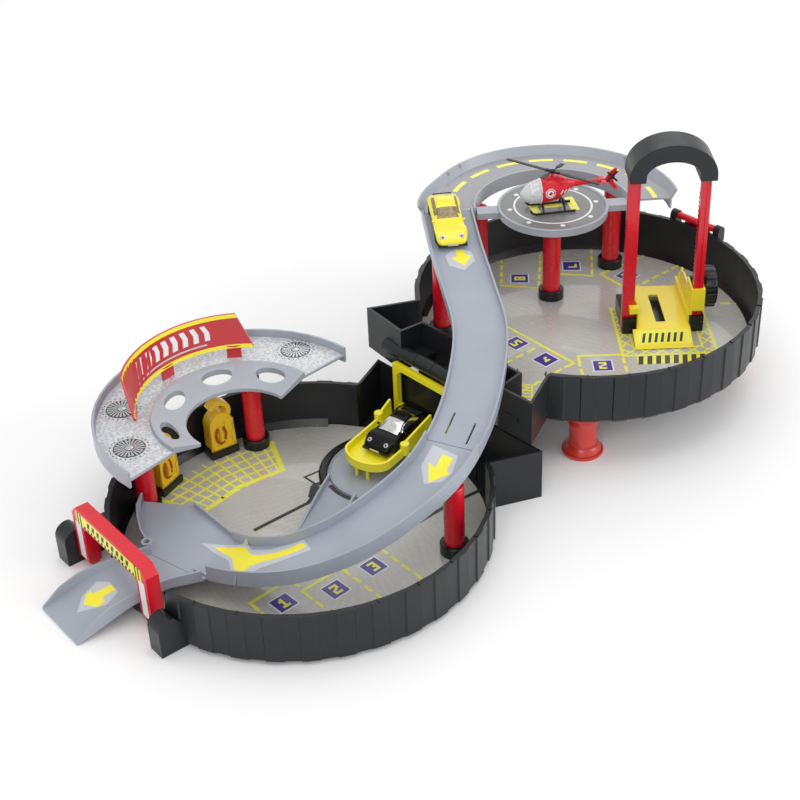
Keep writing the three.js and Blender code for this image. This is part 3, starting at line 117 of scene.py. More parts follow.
def shader_group(name: str, inputs: dict[str, float], outputs: Sequence[str]) -> Tree:
    """Make a shader node group with a Vector input, number inputs and number outputs.

    Args:
        name: the group's name.
        inputs: each number input with its default.
        outputs: the names of the outputs.

    Returns:
        The group, holding only its input and output nodes, named in and out.
    """
    tree = bpy.data.node_groups.new(name, "ShaderNodeTree")
    tree.interface.new_socket("Vector", in_out="INPUT", socket_type="NodeSocketVector")
    for label, value in inputs.items():
        socket = tree.interface.new_socket(label, in_out="INPUT", socket_type="NodeSocketFloat")
        socket.default_value = value
    for label in outputs:
        tree.interface.new_socket(label, in_out="OUTPUT", socket_type="NodeSocketFloat")
    tree.nodes.new("NodeGroupInput").name = "in"
    tree.nodes.new("NodeGroupOutput").name = "out"
    return tree


def wire(tree: Tree, source: Socket, target: Socket) -> None:
    """Link two sockets."""
    tree.links.new(source, target)


def wires(tree: Tree, *links: tuple[Node, str, Node, str]) -> None:
    """Link named outputs of nodes to named inputs of others."""
    for source, output, target, entry in links:
        wire(tree, source.outputs[output], target.inputs[entry])


def noise(tree: Tree, vector: Socket, scale: float, detail: float = 3.0) -> Node:
    """Add a noise texture.

    Args:
        tree: its tree.
        vector: the socket of its place.
        scale: how fine it is.
        detail: how many finer layers it has.

    Returns:
        The noise node.
    """
    node = tree.nodes.new("ShaderNodeTexNoise")
    node.inputs["Scale"].default_value = scale
    node.inputs["Detail"].default_value = detail
    wire(tree, vector, node.inputs["Vector"])
    return node


def ramp(tree: Tree, source: Socket, low: float, high: float) -> Socket:
    """Stretch a value between two limits.

    Args:
        tree: its tree.
        source: the value's socket.
        low: the value that becomes 0.
        high: the value that becomes 1.

    Returns:
        The socket of the stretched value.
    """
    node = tree.nodes.new("ShaderNodeMapRange")
    node.inputs["From Min"].default_value = low
    node.inputs["From Max"].default_value = high
    wire(tree, source, node.inputs["Value"])
    return node.outputs["Result"]


def topped(tree: Tree, source: Socket, share: float, base: Socket | float) -> Socket:
    """Add a share of a value to a base.

    Args:
        tree: its tree.
        source: the value's socket.
        share: what the value is multiplied by.
        base: what it is added to, as a socket or a number.

    Returns:
        The socket of the sum.
    """
    node = tree.nodes.new("ShaderNodeMath")
    node.operation = "MULTIPLY_ADD"
    wire(tree, source, node.inputs[0])
    node.inputs[1].default_value = share
    if isinstance(base, float):
        node.inputs[2].default_value = base
    else:
        wire(tree, base, node.inputs[2])
    return node.outputs["Value"]


def moulded_group() -> Tree:
    """The skin of injection moulded plastic: slow clouding, fine grain and flow lines.

    Returns:
        The group, with outputs Cloud, Gloss and Height.
    """
    name = "moulded_skin"
    if name in bpy.data.node_groups:
        return bpy.data.node_groups[name]
    tree = shader_group(name, {"Grain": 900.0}, ["Cloud", "Gloss", "Height"])
    start, end = tree.nodes["in"], tree.nodes["out"]
    cloud = noise(tree, start.outputs["Vector"], 22.0, 2.0)
    flow = noise(tree, start.outputs["Vector"], 70.0, 4.0)
    fine = noise(tree, start.outputs["Vector"], 900.0, 2.0)
    wire(tree, ramp(tree, cloud.outputs["Fac"], 0.3, 0.7), end.inputs["Cloud"])
    wire(tree, ramp(tree, flow.outputs["Fac"], 0.25, 0.75), end.inputs["Gloss"])
    wires(tree, (start, "Grain", fine, "Scale"), (fine, "Fac", end, "Height"))
    return tree


def scuff_group() -> Tree:
    """Fine handling scratches: stretched noise, kept only where it peaks.

    Returns:
        The group, with the output Scuff.
    """
    name = "handling_scuffs"
    if name in bpy.data.node_groups:
        return bpy.data.node_groups[name]
    tree = shader_group(name, {"Turn": 0.6}, ["Scuff"])
    start, end = tree.nodes["in"], tree.nodes["out"]
    turn = tree.nodes.new("ShaderNodeVectorRotate")
    turn.rotation_type = "Z_AXIS"
    wires(tree, (start, "Vector", turn, "Vector"), (start, "Turn", turn, "Angle"))
    stretch = tree.nodes.new("ShaderNodeVectorMath")
    stretch.operation = "MULTIPLY"
    stretch.inputs[1].default_value = (22.0, 900.0, 300.0)
    wire(tree, turn.outputs["Vector"], stretch.inputs[0])
    hair = noise(tree, stretch.outputs["Vector"], 1.0, 2.0)
    wire(tree, ramp(tree, hair.outputs["Fac"], 0.68, 0.8), end.inputs["Scuff"])
    return tree


@dataclass(frozen=True)
class Finish:
    """One surface finish.

    Attributes:
        name: the finish's own name.
        colour: its printed colour in hex.
        slot: the record's material slot; not used.
        roughness: how matt it is.
        drift: how far the colour clouds, as a share.
        grain: bump height of the fine grain, in millimetres.
        coat: clear coat weight.
        metallic: how metallic it is.
        scuffs: how far scratches roughen it.
        clear: how far light passes, for clear plastic.
        shine: how strongly it mirrors.
    """

    name: str
    colour: str
    slot: str
    roughness: float = 0.35
    drift: float = 0.08
    grain: float = 0.02
    coat: float = 0.0
    metallic: float = 0.0
    scuffs: float = 0.15
    clear: float = 0.0
    shine: float = 0.5

    def material(self) -> bpy.types.Material:
        """Build the finish, once.

        Returns:
            The material, which is the same one at every later call.
        """
        name = "look_" + self.name
        if name in bpy.data.materials:
            return bpy.data.materials[name]
        made = bpy.data.materials.new(name)
        made.use_nodes = True
        tree = made.node_tree
        shader = tree.nodes["Principled BSDF"]
        base = linear(self.colour)
        settings = {
            "Metallic": self.metallic,
            "Coat Weight": self.coat,
            "Coat Roughness": 0.04,
            "Transmission Weight": self.clear,
            "Specular IOR Level": self.shine,
        }
        for label, value in settings.items():
            shader.inputs[label].default_value = value
        place = tree.nodes.new("ShaderNodeTexCoord").outputs["Object"]
        skin, scuff = tree.nodes.new("ShaderNodeGroup"), tree.nodes.new("ShaderNodeGroup")
        skin.node_tree, scuff.node_tree = moulded_group(), scuff_group()
        wire(tree, place, skin.inputs["Vector"])
        wire(tree, place, scuff.inputs["Vector"])
        tint = tree.nodes.new("ShaderNodeMix")
        tint.data_type = "RGBA"
        tint.inputs["A"].default_value = (*[c * (1 - self.drift) for c in base], 1)
        tint.inputs["B"].default_value = (*[min(1, c * (1 + self.drift)) for c in base], 1)
        self.dress(tree, tint, place, skin)
        matt = topped(tree, scuff.outputs["Scuff"], self.scuffs, self.roughness)
        wire(tree, topped(tree, skin.outputs["Gloss"], 0.08, matt), shader.inputs["Roughness"])
        bump = tree.nodes.new("ShaderNodeBump")
        bump.inputs["Strength"].default_value = 0.6
        bump.inputs["Distance"].default_value = self.grain * MM
        wires(
            tree,
            (tint, "Result", shader, "Base Color"),
            (skin, "Height", bump, "Height"),
            (bump, "Normal", shader, "Normal"),
        )
        return made

    def dress(self, tree: Tree, tint: Node, place: Socket, skin: Node) -> None:
        """Drive the mix between the two tones. Plain plastic clouds slowly."""
        wire(tree, skin.outputs["Cloud"], tint.inputs["Factor"])


@dataclass(frozen=True)
class Laminate(Finish):
    """A printed and laminated sheet: brushed streaks swirl under a clear film."""

    streak: float = 60.0

    def dress(self, tree: Tree, tint: Node, place: Socket, skin: Node) -> None:
        """Drive the two tones by swirling streaks.

        Args:
            tree: the material's tree.
            tint: the mix of the two tones.
            place: the socket of the place on the object.
            skin: the moulded skin's group node; not used.
        """
        warp = noise(tree, place, 7.0, 3.0)
        bend = tree.nodes.new("ShaderNodeVectorMath")
        bend.operation = "MULTIPLY_ADD"
        bend.inputs[1].default_value = (0.09, 0.09, 0.0)
        wire(tree, warp.outputs["Color"], bend.inputs[0])
        wire(tree, place, bend.inputs[2])
        wave = tree.nodes.new("ShaderNodeTexWave")
        wave.wave_type = "RINGS"
        wave.rings_direction = "Z"
        wave.inputs["Scale"].default_value = self.streak
        wave.inputs["Distortion"].default_value = 3.0
        wave.inputs["Detail"].default_value = 3.0
        wire(tree, bend.outputs["Vector"], wave.inputs["Vector"])
        patch = noise(tree, place, 11.0, 4.0)
        clouds = ramp(tree, patch.outputs["Fac"], 0.3, 0.95)
        wire(tree, topped(tree, wave.outputs["Fac"], 0.3, clouds), tint.inputs["Factor"])


@dataclass(frozen=True)
class Speckle(Finish):
    """A printed metal plate: bright flecks on grey."""

    fleck: float = 420.0

    def dress(self, tree: Tree, tint: Node, place: Socket, skin: Node) -> None:
        """Drive the two tones by hard flecks."""
        cell = noise(tree, place, self.fleck, 2.0)
        wire(tree, ramp(tree, cell.outputs["Fac"], 0.42, 0.62), tint.inputs["Factor"])


# A shine so strong that nearly all light is mirrored
MIRROR = 150.0


class Look:
    """The finishes of the garage."""

    CASE = Finish("case_black", "1e2023", "case_black", 0.3, 0.16, 0.05, scuffs=0.25, shine=0.4)
    SMOOTH_BLACK = Finish("gloss_black", "18191b", "case_black", 0.25, 0.1, scuffs=0.2, shine=0.4)
    FLOOR = Laminate("floor_sheet", "c2c1ba", "printed_card", 0.22, 0.1, 0.01, 0.6, scuffs=0.1)
    ROAD_SHEET = Laminate("road_sheet", "96979a", "printed_card", 0.3, 0.06, 0.01, 0.3)
    PAD_SHEET = Laminate("pad_sheet", "7c7f7d", "printed_card", 0.35, 0.08, 0.01, 0.2)
    PLATE = Speckle("plated_sheet", "ced1d4", "printed_card", 0.3, 0.16, 0.02, 0.3, metallic=0.2)
    RED = Finish("frame_red", "db1428", "frame_red", 0.25, 0.08, 0.01, 0.25)
    ORANGE_RED = Finish("foot_red", "d2382c", "frame_red", 0.25, 0.08, 0.01, 0.4)
    RAMP = Finish("ramp_grey", "a1a8b3", "ramp_grey", 0.33, 0.05, 0.02, 0.2)
    DECK = Finish("deck_grey", "a6abb4", "deck_grey", 0.33, 0.05, 0.02, 0.2)
    YELLOW = Finish("lift_yellow", "ffe62e", "lift_yellow", 0.3, 0.05, 0.01, 0.3)
    PUMP = Finish("pump_yellow", "f7c81e", "lift_yellow", 0.28, 0.06, 0.01, 0.3)
    HOSE = Finish("hose_brown", "a8541a", "lift_yellow", 0.4, 0.15, 0.02)
    BRIGHT = Finish("hoist_yellow", "fff226", "hoist_yellow", 0.32, 0.02, 0.01, 0.3)
    INK_YELLOW = Finish("ink_yellow", "fbf650", "printed_card", 0.3, 0.08, 0.005, 0.3)
    INK_ARROW = Finish("ink_arrow", "fcee36", "printed_card", 0.3, 0.06, 0.005, 0.3)
    INK_WHITE = Finish("ink_white", "eceef0", "printed_card", 0.3, 0.04, 0.005, 0.3)
    INK_PALE = Finish("ink_pale", "c3c8cf", "printed_card", 0.3, 0.04, 0.005, 0.3)
    INK_PURPLE = Finish("ink_purple", "46379a", "printed_card", 0.3, 0.08, 0.005, 0.3)
    INK_DARK = Finish("ink_dark", "33342f", "printed_card", 0.35, 0.1, 0.005, 0.2)
    SIGN_RED = Finish("sign_red", "c62a30", "frame_red", 0.3, 0.06, 0.005, 0.4)
    CAR_YELLOW = Finish("yellow_enamel", "f3e51c", "yellow_enamel", 0.16, 0.04, 0.004, 1.0, scuffs=0.02)
    CAR_BLACK = Finish(
        "black_enamel", "0b0b0d", "black_enamel", 0.22, 0.1, 0.004, 0.12, scuffs=0.02, shine=0.15
    )
    TAN_GLASS = Speckle("tan_glass", "8d7848", "yellow_enamel", 0.12, 0.3, 0.01, 0.8, metallic=0.1)
    SILVER_GLASS = Speckle(
        "silver_glass", "b9b8b4", "black_enamel", 0.1, 0.2, 0.01, 0.8, metallic=0.5, scuffs=0.1, shine=MIRROR
    )
    OLIVE_GLASS = Speckle(
        "olive_glass", "8b875a", "black_enamel", 0.12, 0.2, 0.01, 0.8, metallic=0.2, scuffs=0.1, shine=MIRROR
    )
    TRIM_SILVER = Finish("trim_silver", "c9ccd0", "black_enamel", 0.2, 0.06, 0.01, 0.3, metallic=0.8)
    TYRE = Finish("wheel_black", "1b1b1c", "wheel_black", 0.6, 0.1, 0.05)
    RIM = Finish("wheel_rim", "a9acb0", "wheel_black", 0.25, 0.06, 0.01, 0.2, metallic=0.7)
    CHASSIS = Finish("car_base", "1a1b1d", "car_base", 0.45)
    CLEAR = Finish("canopy_clear", "fafbfc", "canopy_clear", 0.06, 0.02, 0.003, 0.8, scuffs=0.02, clear=0.4)
    COCKPIT = Finish("cockpit_pale", "dcdee2", "frame_red", 0.5, 0.1)
    STEEL = Finish("pin_steel", "a7a9ab", "pin_steel", 0.3, 0.05, 0.01, metallic=0.9)


# Solids


class Solid:
    """Points in millimetres and faces that one piece is made of."""

    def __init__(self) -> None:
        """Start empty."""
        self.points: list[Vector] = []
        self.faces: list[list[int]] = []
        self.tones: list[int] = []

    def add(self, points: Iterable[Spot], faces: Iterable[Sequence[int]], tone: int = 0) -> Solid:
        """Add points and the faces over them.

        Args:
            points: the points, in millimetres.
            faces: the faces, as numbers of those points.
            tone: the number of the finish.

        Returns:
            This solid.
        """
        first = len(self.points)
        self.points.extend(Vector(p) for p in points)
        for face in faces:
            self.faces.append([first + i for i in face])
            self.tones.append(tone)
        return self

    def moved(self, place: Matrix) -> Solid:
        """Move every point by a matrix and return this solid."""
        self.points = [place @ p for p in self.points]
        return self

    def join(self, other: Solid) -> Solid:
        """Add another solid's points and faces.

        Args:
            other: the other solid.

        Returns:
            This solid.
        """
        first = len(self.points)
        self.points.extend(other.points)
        self.faces.extend([[first + i for i in face] for face in other.faces])
        self.tones.extend(other.tones)
        return self

    def box(self, x: Plan, y: Plan, z: Plan, tone: int = 0) -> Solid:
        """Add a box.

        Args:
            x: its two limits along x.
            y: its two limits along y.
            z: its two limits along z.
            tone: the number of the finish.

        Returns:
            This solid.
        """
        points = [(a, b, c) for c in z for b in y for a in x]
        faces = [(0, 2, 3, 1), (4, 5, 7, 6), (0, 1, 5, 4), (2, 6, 7, 3), (0, 4, 6, 2), (1, 3, 7, 5)]
        return self.add(points, faces, tone)

    def loft(self, rings: Sequence[Sequence[Spot]], tone: int = 0, capped: bool = True) -> Solid:
        """Add a skin over rings with the same number of points.

        Args:
            rings: the rings, each a closed loop of points.
            tone: the number of the finish.
            capped: whether both ends are closed.

        Returns:
            This solid.
        """
        count = len(rings[0])
        faces = []
        for i in range(len(rings) - 1):
            for j in range(count):
                a, b = i * count + j, i * count + (j + 1) % count
                faces.append((a, b, b + count, a + count))
        if capped:
            faces.append(tuple(reversed(range(count))))
            faces.append(tuple(range((len(rings) - 1) * count, len(rings) * count)))
        return self.add([p for ring in rings for p in ring], faces, tone)

    def prism(self, outline: Outline, low: float, high: float, tone: int = 0) -> Solid:
        """Add an outline in plan raised between two heights."""
        return self.loft([[(x, y, z) for x, y in outline] for z in (low, high)], tone)

    def turn(self, profile: Outline, sides: int = 48, tone: int = 0) -> Solid:
        """Add a profile turned about z, closed at both ends.

        Args:
            profile: radius and height of each of its points.
            sides: how many sides the turned form has.
            tone: the number of the finish.

        Returns:
            This solid.
        """
        rings = []
        for radius, z in profile:
            rings.append([(*around((0, 0), radius, 360 * k / sides), z) for k in range(sides)])
        return self.loft(rings, tone)

    def tube(self, path: Sequence[Spot], radius: float, sides: int = 12, tone: int = 0) -> Solid:
        """Add a round tube.

        Args:
            path: the points that its middle runs through.
            radius: its radius.
            sides: how many sides it has.
            tone: the number of the finish.

        Returns:
            This solid.
        """
        line = [Vector(p) for p in path]
        rings = []
        for i, at in enumerate(line):
            ahead = (line[min(i + 1, len(line) - 1)] - line[max(i - 1, 0)]).normalized()
            side = ahead.orthogonal().normalized() if abs(ahead.z) > 0.99 else ahead.cross(Vector((0, 0, 1)))
            side.normalize()
            up = side.cross(ahead)
            rings.append([
                at + radius * (math.cos(t) * side + math.sin(t) * up)
                for t in (FULL_TURN * k / sides for k in range(sides))
            ])
        return self.loft(rings, tone)

    def mesh(self, name: str) -> Mesh:
        """Write the solid as a mesh, with its faces turned out.

        Args:
            name: the mesh's name.

        Returns:
            The mesh, in metres.
        """
        mesh = bpy.data.meshes.new(name)
        mesh.from_pydata([p * MM for p in self.points], [], self.faces)
        for face, tone in zip(mesh.polygons, self.tones):
            face.material_index = tone
        bm = bmesh.new()
        bm.from_mesh(mesh)
        bmesh.ops.remove_doubles(bm, verts=bm.verts, dist=1e-7)
        bmesh.ops.recalc_face_normals(bm, faces=bm.faces)
        bm.to_mesh(mesh)
        bm.free()
        return mesh


def around(centre: Plan, radius: float, degrees: float) -> Plan:
    """The place at a radius and bearing from a centre in plan."""
    angle = math.radians(degrees)
    return centre[0] + radius * math.cos(angle), centre[1] + radius * math.sin(angle)


def set_down(x: float, y: float, degrees: float, z: float = 0.0) -> Matrix:
    """A place in plan, turned about the vertical."""
    return Matrix.Translation((x, y, z)) @ Matrix.Rotation(math.radians(degrees), 4, "Z")


def laid(centre: Vector, axis: Vector) -> Matrix:
    """A place whose z runs along a level axis."""
    across = axis.cross(Vector((0, 0, 1))).normalized()
    return Matrix.Translation(centre) @ Matrix((across, axis.cross(across), axis)).transposed().to_4x4()


def along(place: Matrix, outline: Iterable[Plan]) -> list[Plan]:
    """Carry an outline in plan by a flat place matrix."""
    return [tuple((place @ Vector((x, y, 0)))[:2]) for x, y in outline]


def rectangle(x: Plan, y: Plan) -> list[Plan]:
    """A rectangle's four corners in plan."""
    return [(x[0], y[0]), (x[1], y[0]), (x[1], y[1]), (x[0], y[1])]


def band(centre: Plan, inner: float, outer: float, start: float, end: float, step: float = 3.0) -> list[Plan]:
    """The outline of a stretch of a flat ring.

    Args:
        centre: the ring's centre.
        inner: its inner radius.
        outer: its outer radius.
        start: the bearing where the stretch starts.
        end: the bearing where it ends.
        step: about how far its points are apart, in degrees.

    Returns:
        The outline, out along one edge and back along the other.
    """
    count = max(2, round(abs(end - start) / step))
    bearings = [start + (end - start) * i / count for i in range(count + 1)]
    far = [around(centre, outer, bearing) for bearing in bearings]
    return far + [around(centre, inner, bearing) for bearing in reversed(bearings)]


def stroke(points: Outline, width: float) -> list[list[Plan]]:
    """Turn a broken line into bars.

    Args:
        points: the line's points.
        width: the bars' width.

    Returns:
        One bar's outline for each length of the line.
    """
    bars = []
    for (x0, y0), (x1, y1) in zip(points, points[1:]):
        length = math.hypot(x1 - x0, y1 - y0)
        place = set_down(x0, y0, math.degrees(math.atan2(y1 - y0, x1 - x0)))
        bars.append(along(place, rectangle((-width / 2, length + width / 2), (-width / 2, width / 2))))
    return bars


def dashes(start: Plan, end: Plan, width: float, dash: float, space: float) -> list[list[Plan]]:
    """Short bars on the way from one place to another.

    Args:
        start: where the first bar starts.
        end: where the last one stops.
        width: the bars' width.
        dash: a bar's length.
        space: the gap between two bars.

    Returns:
        The bars' outlines.
    """
    length = math.hypot(end[0] - start[0], end[1] - start[1])
    place = set_down(*start, math.degrees(math.atan2(end[1] - start[1], end[0] - start[0])))
    bars = []
    at = 0.0
    while at < length:
        bars.append(along(place, rectangle((at, min(at + dash, length)), (-width / 2, width / 2))))
        at += dash + space
    return bars


# Pieces


def settle(mesh: Mesh, smooth: float) -> None:
    """Shade a mesh smooth and leave its sharper edges sharp.

    Args:
        mesh: the mesh.
        smooth: the angle in degrees over which an edge stays sharp.
    """
    bm = bmesh.new()
    bm.from_mesh(mesh)
    limit = math.radians(smooth)
    for face in bm.faces:
        face.smooth = True
    for edge in bm.edges:
        edge.smooth = len(edge.link_faces) == 2 and edge.calc_face_angle(0.0) < limit
    bm.to_mesh(mesh)
    bm.free()


def evaluated(made: Thing) -> Mesh:
    """The mesh that an object's modifiers make."""
    depsgraph = bpy.context.evaluated_depsgraph_get()
    return bpy.data.meshes.new_from_object(made.evaluated_get(depsgraph))


def piece(
    name: str,
    mesh: Mesh,
    finishes: Finish | Sequence[Finish],
    body: Body | str = Body.BASE,
    replaces: Sequence[str] = (),
    bevel: float = 0.0,
    smooth: float = 35.0,
    rounds: int = 0,
) -> Thing:
    """Dress a mesh as one piece of the garage.

    Args:
        name: the piece's name.
        mesh: its mesh, in metres and in place.
        finishes: its finish, or one for each tone.
        body: the body that it rides on.
        replaces: the nodes that it stands for.
        bevel: how far its edges are rounded, in millimetres.
        smooth: the angle in degrees over which an edge stays sharp.
        rounds: levels of subdivision.

    Returns:
        The piece.
    """
    made = bpy.data.objects.new(name, mesh)
    bpy.context.scene.collection.objects.link(made)
    listed = [finishes] if isinstance(finishes, Finish) else list(finishes)
    if mesh.materials:
        mesh.materials.clear()
    for finish in listed:
        mesh.materials.append(finish.material())
    if bevel:
        edge = made.modifiers.new("edges", "BEVEL")
        edge.width = bevel * MM
        edge.segments = 2
        edge.limit_method = "ANGLE"
        edge.angle_limit = math.radians(40)
        edge.use_clamp_overlap = True
    if rounds:
        subdivide = made.modifiers.new("rounding", "SUBSURF")
        subdivide.levels = subdivide.render_levels = rounds
    if made.modifiers:
        made.data = evaluated(made)
        made.modifiers.clear()
    settle(made.data, smooth)
    if bevel:
        made.modifiers.new("even_shade", "WEIGHTED_NORMAL").keep_sharp = True
        made.data = evaluated(made)
        made.modifiers.clear()
    made.data.name = name
    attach(made, str(body.value if isinstance(body, Body) else body))
    if replaces:
        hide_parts(*replaces)
    log.info("%s: %d faces on %s", name, len(made.data.polygons), body)
    return made


class Packed:
    """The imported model: its nodes, their boxes and their joints."""

    def __init__(self, frame: dict) -> None:
        """Keep the frame that was loaded.
        """
        self.nodes: dict[str, Thing] = frame["nodes"]
        self.joints: dict[str, dict] = {j["name"]: j for j in frame["joints"]}
        self.bodies: dict[str, list[str]] = frame["record"]["behaviour"]["bodies"]
        self.trees: dict[str, BVHTree] = {}

    def body_of(self, node: str) -> str:
        """The body that a node belongs to."""
        return next(body for body, members in self.bodies.items() if node in members)

    def joint(self, name: str) -> tuple[Vector, Vector]:
        """A joint's place in millimetres, and its axis."""
        found = self.joints[name]
        return Vector(found["pos_m"]) / MM, Vector(found["axis"]).normalized()

    def box(self, node: str) -> tuple[Vector, Vector]:
        """A node's lowest and highest corners, in millimetres."""
        low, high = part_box(node)
        return low / MM, high / MM

    def merged(self, node: str) -> Mesh:
        """Copy a node's mesh, with its loose triangles joined and its flat faces made whole.

        Args:
            node: the node's name.

        Returns:
            The copy.
        """
        mesh = self.nodes[node].data.copy()
        bm = bmesh.new()
        bm.from_mesh(mesh)
        bmesh.ops.remove_doubles(bm, verts=bm.verts, dist=2e-6)
        bmesh.ops.dissolve_degenerate(bm, edges=bm.edges, dist=1e-6)
        bmesh.ops.dissolve_limit(bm, angle_limit=math.radians(0.4), verts=bm.verts, edges=bm.edges)
        bm.to_mesh(mesh)
        bm.free()
        return mesh

    def remould(self, node: str, finish: Finish, bevel: float = 0.5, smooth: float = 35.0) -> Thing:
        """Stand a copy with rounded edges and even shading in for a node."""
        mesh, body = self.merged(node), self.body_of(node)
        return piece(node + "_moulding", mesh, finish, body, [node], bevel, smooth)

    def paint(self, node: str, finish: Finish) -> None:
        """Give a node's own mesh a finish.

        Args:
            node: the node's name.
            finish: its finish.
        """
        mesh = self.nodes[node].data
        if not mesh.materials:
            mesh.materials.append(finish.material())
        for index in range(len(mesh.materials)):
            mesh.materials[index] = finish.material()

    def drop(self, node: str, x: float, y: float, ceiling: float = 240.0) -> float | None:
        """Find a node's upper face at a place in plan.

        Args:
            node: the node's name.
            x: the place along x.
            y: the place along y.
            ceiling: the height that it is looked for from.

        Returns:
            The face's height in millimetres, or None off its edge.
        """
        if node not in self.trees:
            bm = bmesh.new()
            bm.from_mesh(self.nodes[node].data)
            self.trees[node] = BVHTree.FromBMesh(bm)
            bm.free()
        hit = self.trees[node].ray_cast(Vector((x * MM, y * MM, ceiling * MM)), Vector((0, 0, -1)))
        return None if hit[0] is None else hit[0].z / MM

    def top_of(self, node: str, ceiling: float = 240.0) -> Height:
        """A node's upper face as a height for each place in plan."""
        return partial(self.drop, node, ceiling=ceiling)


# Repeats


class Repeat(Enum):
    """The ways in which a template is repeated."""

    RING = "ring"
    ROW = "row"


def array_tree(kind: Repeat) -> Tree:
    """Build the geometry node tree that repeats a template round a ring or along a row.

    Args:
        kind: a ring, with Radius, Start and Step inputs, or a row, with a Step vector input.

    Returns:
        The tree, which ends in Realize Instances and Set Material.
    """
    name = "repeat_" + kind.value
    if name in bpy.data.node_groups:
        return bpy.data.node_groups[name]
    tree = bpy.data.node_groups.new(name, "GeometryNodeTree")
    sockets = [("Template", "NodeSocketObject"), ("Count", "NodeSocketInt"), ("Finish", "NodeSocketMaterial")]
    if kind is Repeat.RING:
        sockets += [(label, "NodeSocketFloat") for label in ("Radius", "Start", "Step")]
    else:
        sockets += [("Step", "NodeSocketVector")]
    for label, kind_of_socket in sockets:
        tree.interface.new_socket(label, in_out="INPUT", socket_type=kind_of_socket)
    tree.interface.new_socket("Geometry", in_out="OUTPUT", socket_type="NodeSocketGeometry")
    add = tree.nodes.new
    start, end = add("NodeGroupInput"), add("NodeGroupOutput")
    points, place = add("GeometryNodePoints"), add("GeometryNodeSetPosition")
    spread = add("GeometryNodeInstanceOnPoints")
    index, template = add("GeometryNodeInputIndex"), add("GeometryNodeObjectInfo")
    real, coat = add("GeometryNodeRealizeInstances"), add("GeometryNodeSetMaterial")
    if kind is Repeat.RING:
        angle = add("ShaderNodeMath")
        angle.operation = "MULTIPLY_ADD"
        for entry, (node, label) in enumerate(((index, "Index"), (start, "Step"), (start, "Start"))):
            wire(tree, node.outputs[label], angle.inputs[entry])
        spot, spin = add("ShaderNodeCombineXYZ"), add("ShaderNodeCombineXYZ")
        for operation, axis in (("COSINE", "X"), ("SINE", "Y")):
            wave, reach = add("ShaderNodeMath"), add("ShaderNodeMath")
            wave.operation, reach.operation = operation, "MULTIPLY"
            wire(tree, angle.outputs["Value"], wave.inputs[0])
            wire(tree, wave.outputs["Value"], reach.inputs[0])
            wire(tree, start.outputs["Radius"], reach.inputs[1])
            wires(tree, (reach, "Value", spot, axis))
        turned = add("FunctionNodeEulerToRotation")
        wires(
            tree,
            (angle, "Value", spin, "Z"),
            (spin, "Vector", turned, "Euler"),
            (turned, "Rotation", spread, "Rotation"),
            (spot, "Vector", place, "Position"),
        )
    else:
        pace = add("ShaderNodeVectorMath")
        pace.operation = "SCALE"
        wires(
            tree,
            (start, "Step", pace, "Vector"),
            (index, "Index", pace, "Scale"),
            (pace, "Vector", place, "Position"),
        )
    wires(
        tree,
        (start, "Count", points, "Count"),
        (points, "Points", place, "Geometry"),
        (place, "Geometry", spread, "Points"),
        (start, "Template", template, "Object"),
        (template, "Geometry", spread, "Instance"),
        (spread, "Instances", real, "Geometry"),
        (real, "Geometry", coat, "Geometry"),
        (start, "Finish", coat, "Material"),
        (coat, "Geometry", end, "Geometry"),
    )
    return tree


def repeated(
    name: str, kind: Repeat, template: Solid, finish: Finish, values: dict[str, object], place: Matrix
) -> Mesh:
    """Repeat a template by a geometry node tree and return the plain mesh.

    Args:
        name: the mesh's name.
        kind: in which way it is repeated.
        template: the solid that is repeated, in millimetres.
        finish: the finish of every copy.
        values: the tree's inputs by name, lengths in metres and angles in radians.
        place: where the whole repeat goes, in millimetres.

    Returns:
        The mesh, in place.
    """
    tree = array_tree(kind)
    link = bpy.context.scene.collection.objects.link
    model = bpy.data.objects.new(name + "_template", template.mesh(name + "_template"))
    host = bpy.data.objects.new(name + "_host", bpy.data.meshes.new(name + "_host"))
    link(model)
    link(host)
    modifier = host.modifiers.new("repeat", "NODES")
    modifier.node_group = tree
    given = {**values, "Template": model, "Finish": finish.material()}
    for item in tree.interface.items_tree:
        if item.in_out == "INPUT":
            modifier[item.identifier] = given[item.name]
    bpy.context.view_layer.update()
    mesh = evaluated(host)
    bpy.data.objects.remove(host)
    bpy.data.objects.remove(model)
    metres = place.copy()
    metres.translation *= MM
    mesh.transform(metres)
    return mesh


def ring_of(
    name: str, template: Solid, finish: Finish, count: int, radius: float, start: float, step: float,
    place: Matrix,
) -> Mesh:
    """Repeat a template round a ring: radius in millimetres, start and step in degrees."""
    values = {"Count": count, "Radius": radius * MM, "Start": math.radians(start), "Step": math.radians(step)}
    return repeated(name, Repeat.RING, template, finish, values, place)


def row_of(name: str, template: Solid, finish: Finish, count: int, step: Spot, place: Matrix) -> Mesh:
    """Repeat a template along a row: step in millimetres."""
    values = {"Count": count, "Step": Vector(step) * MM}
    return repeated(name, Repeat.ROW, template, finish, values, place)


def merge(name: str, meshes: Sequence[Mesh]) -> Mesh:
    """Join meshes of one finish.

    Args:
        name: the joined mesh's name.
        meshes: the meshes.

    Returns:
        The joined mesh.
    """
    bm = bmesh.new()
    for mesh in meshes:
        bm.from_mesh(mesh)
    whole = bpy.data.meshes.new(name)
    bm.to_mesh(whole)
    bm.free()
    return whole


# Print


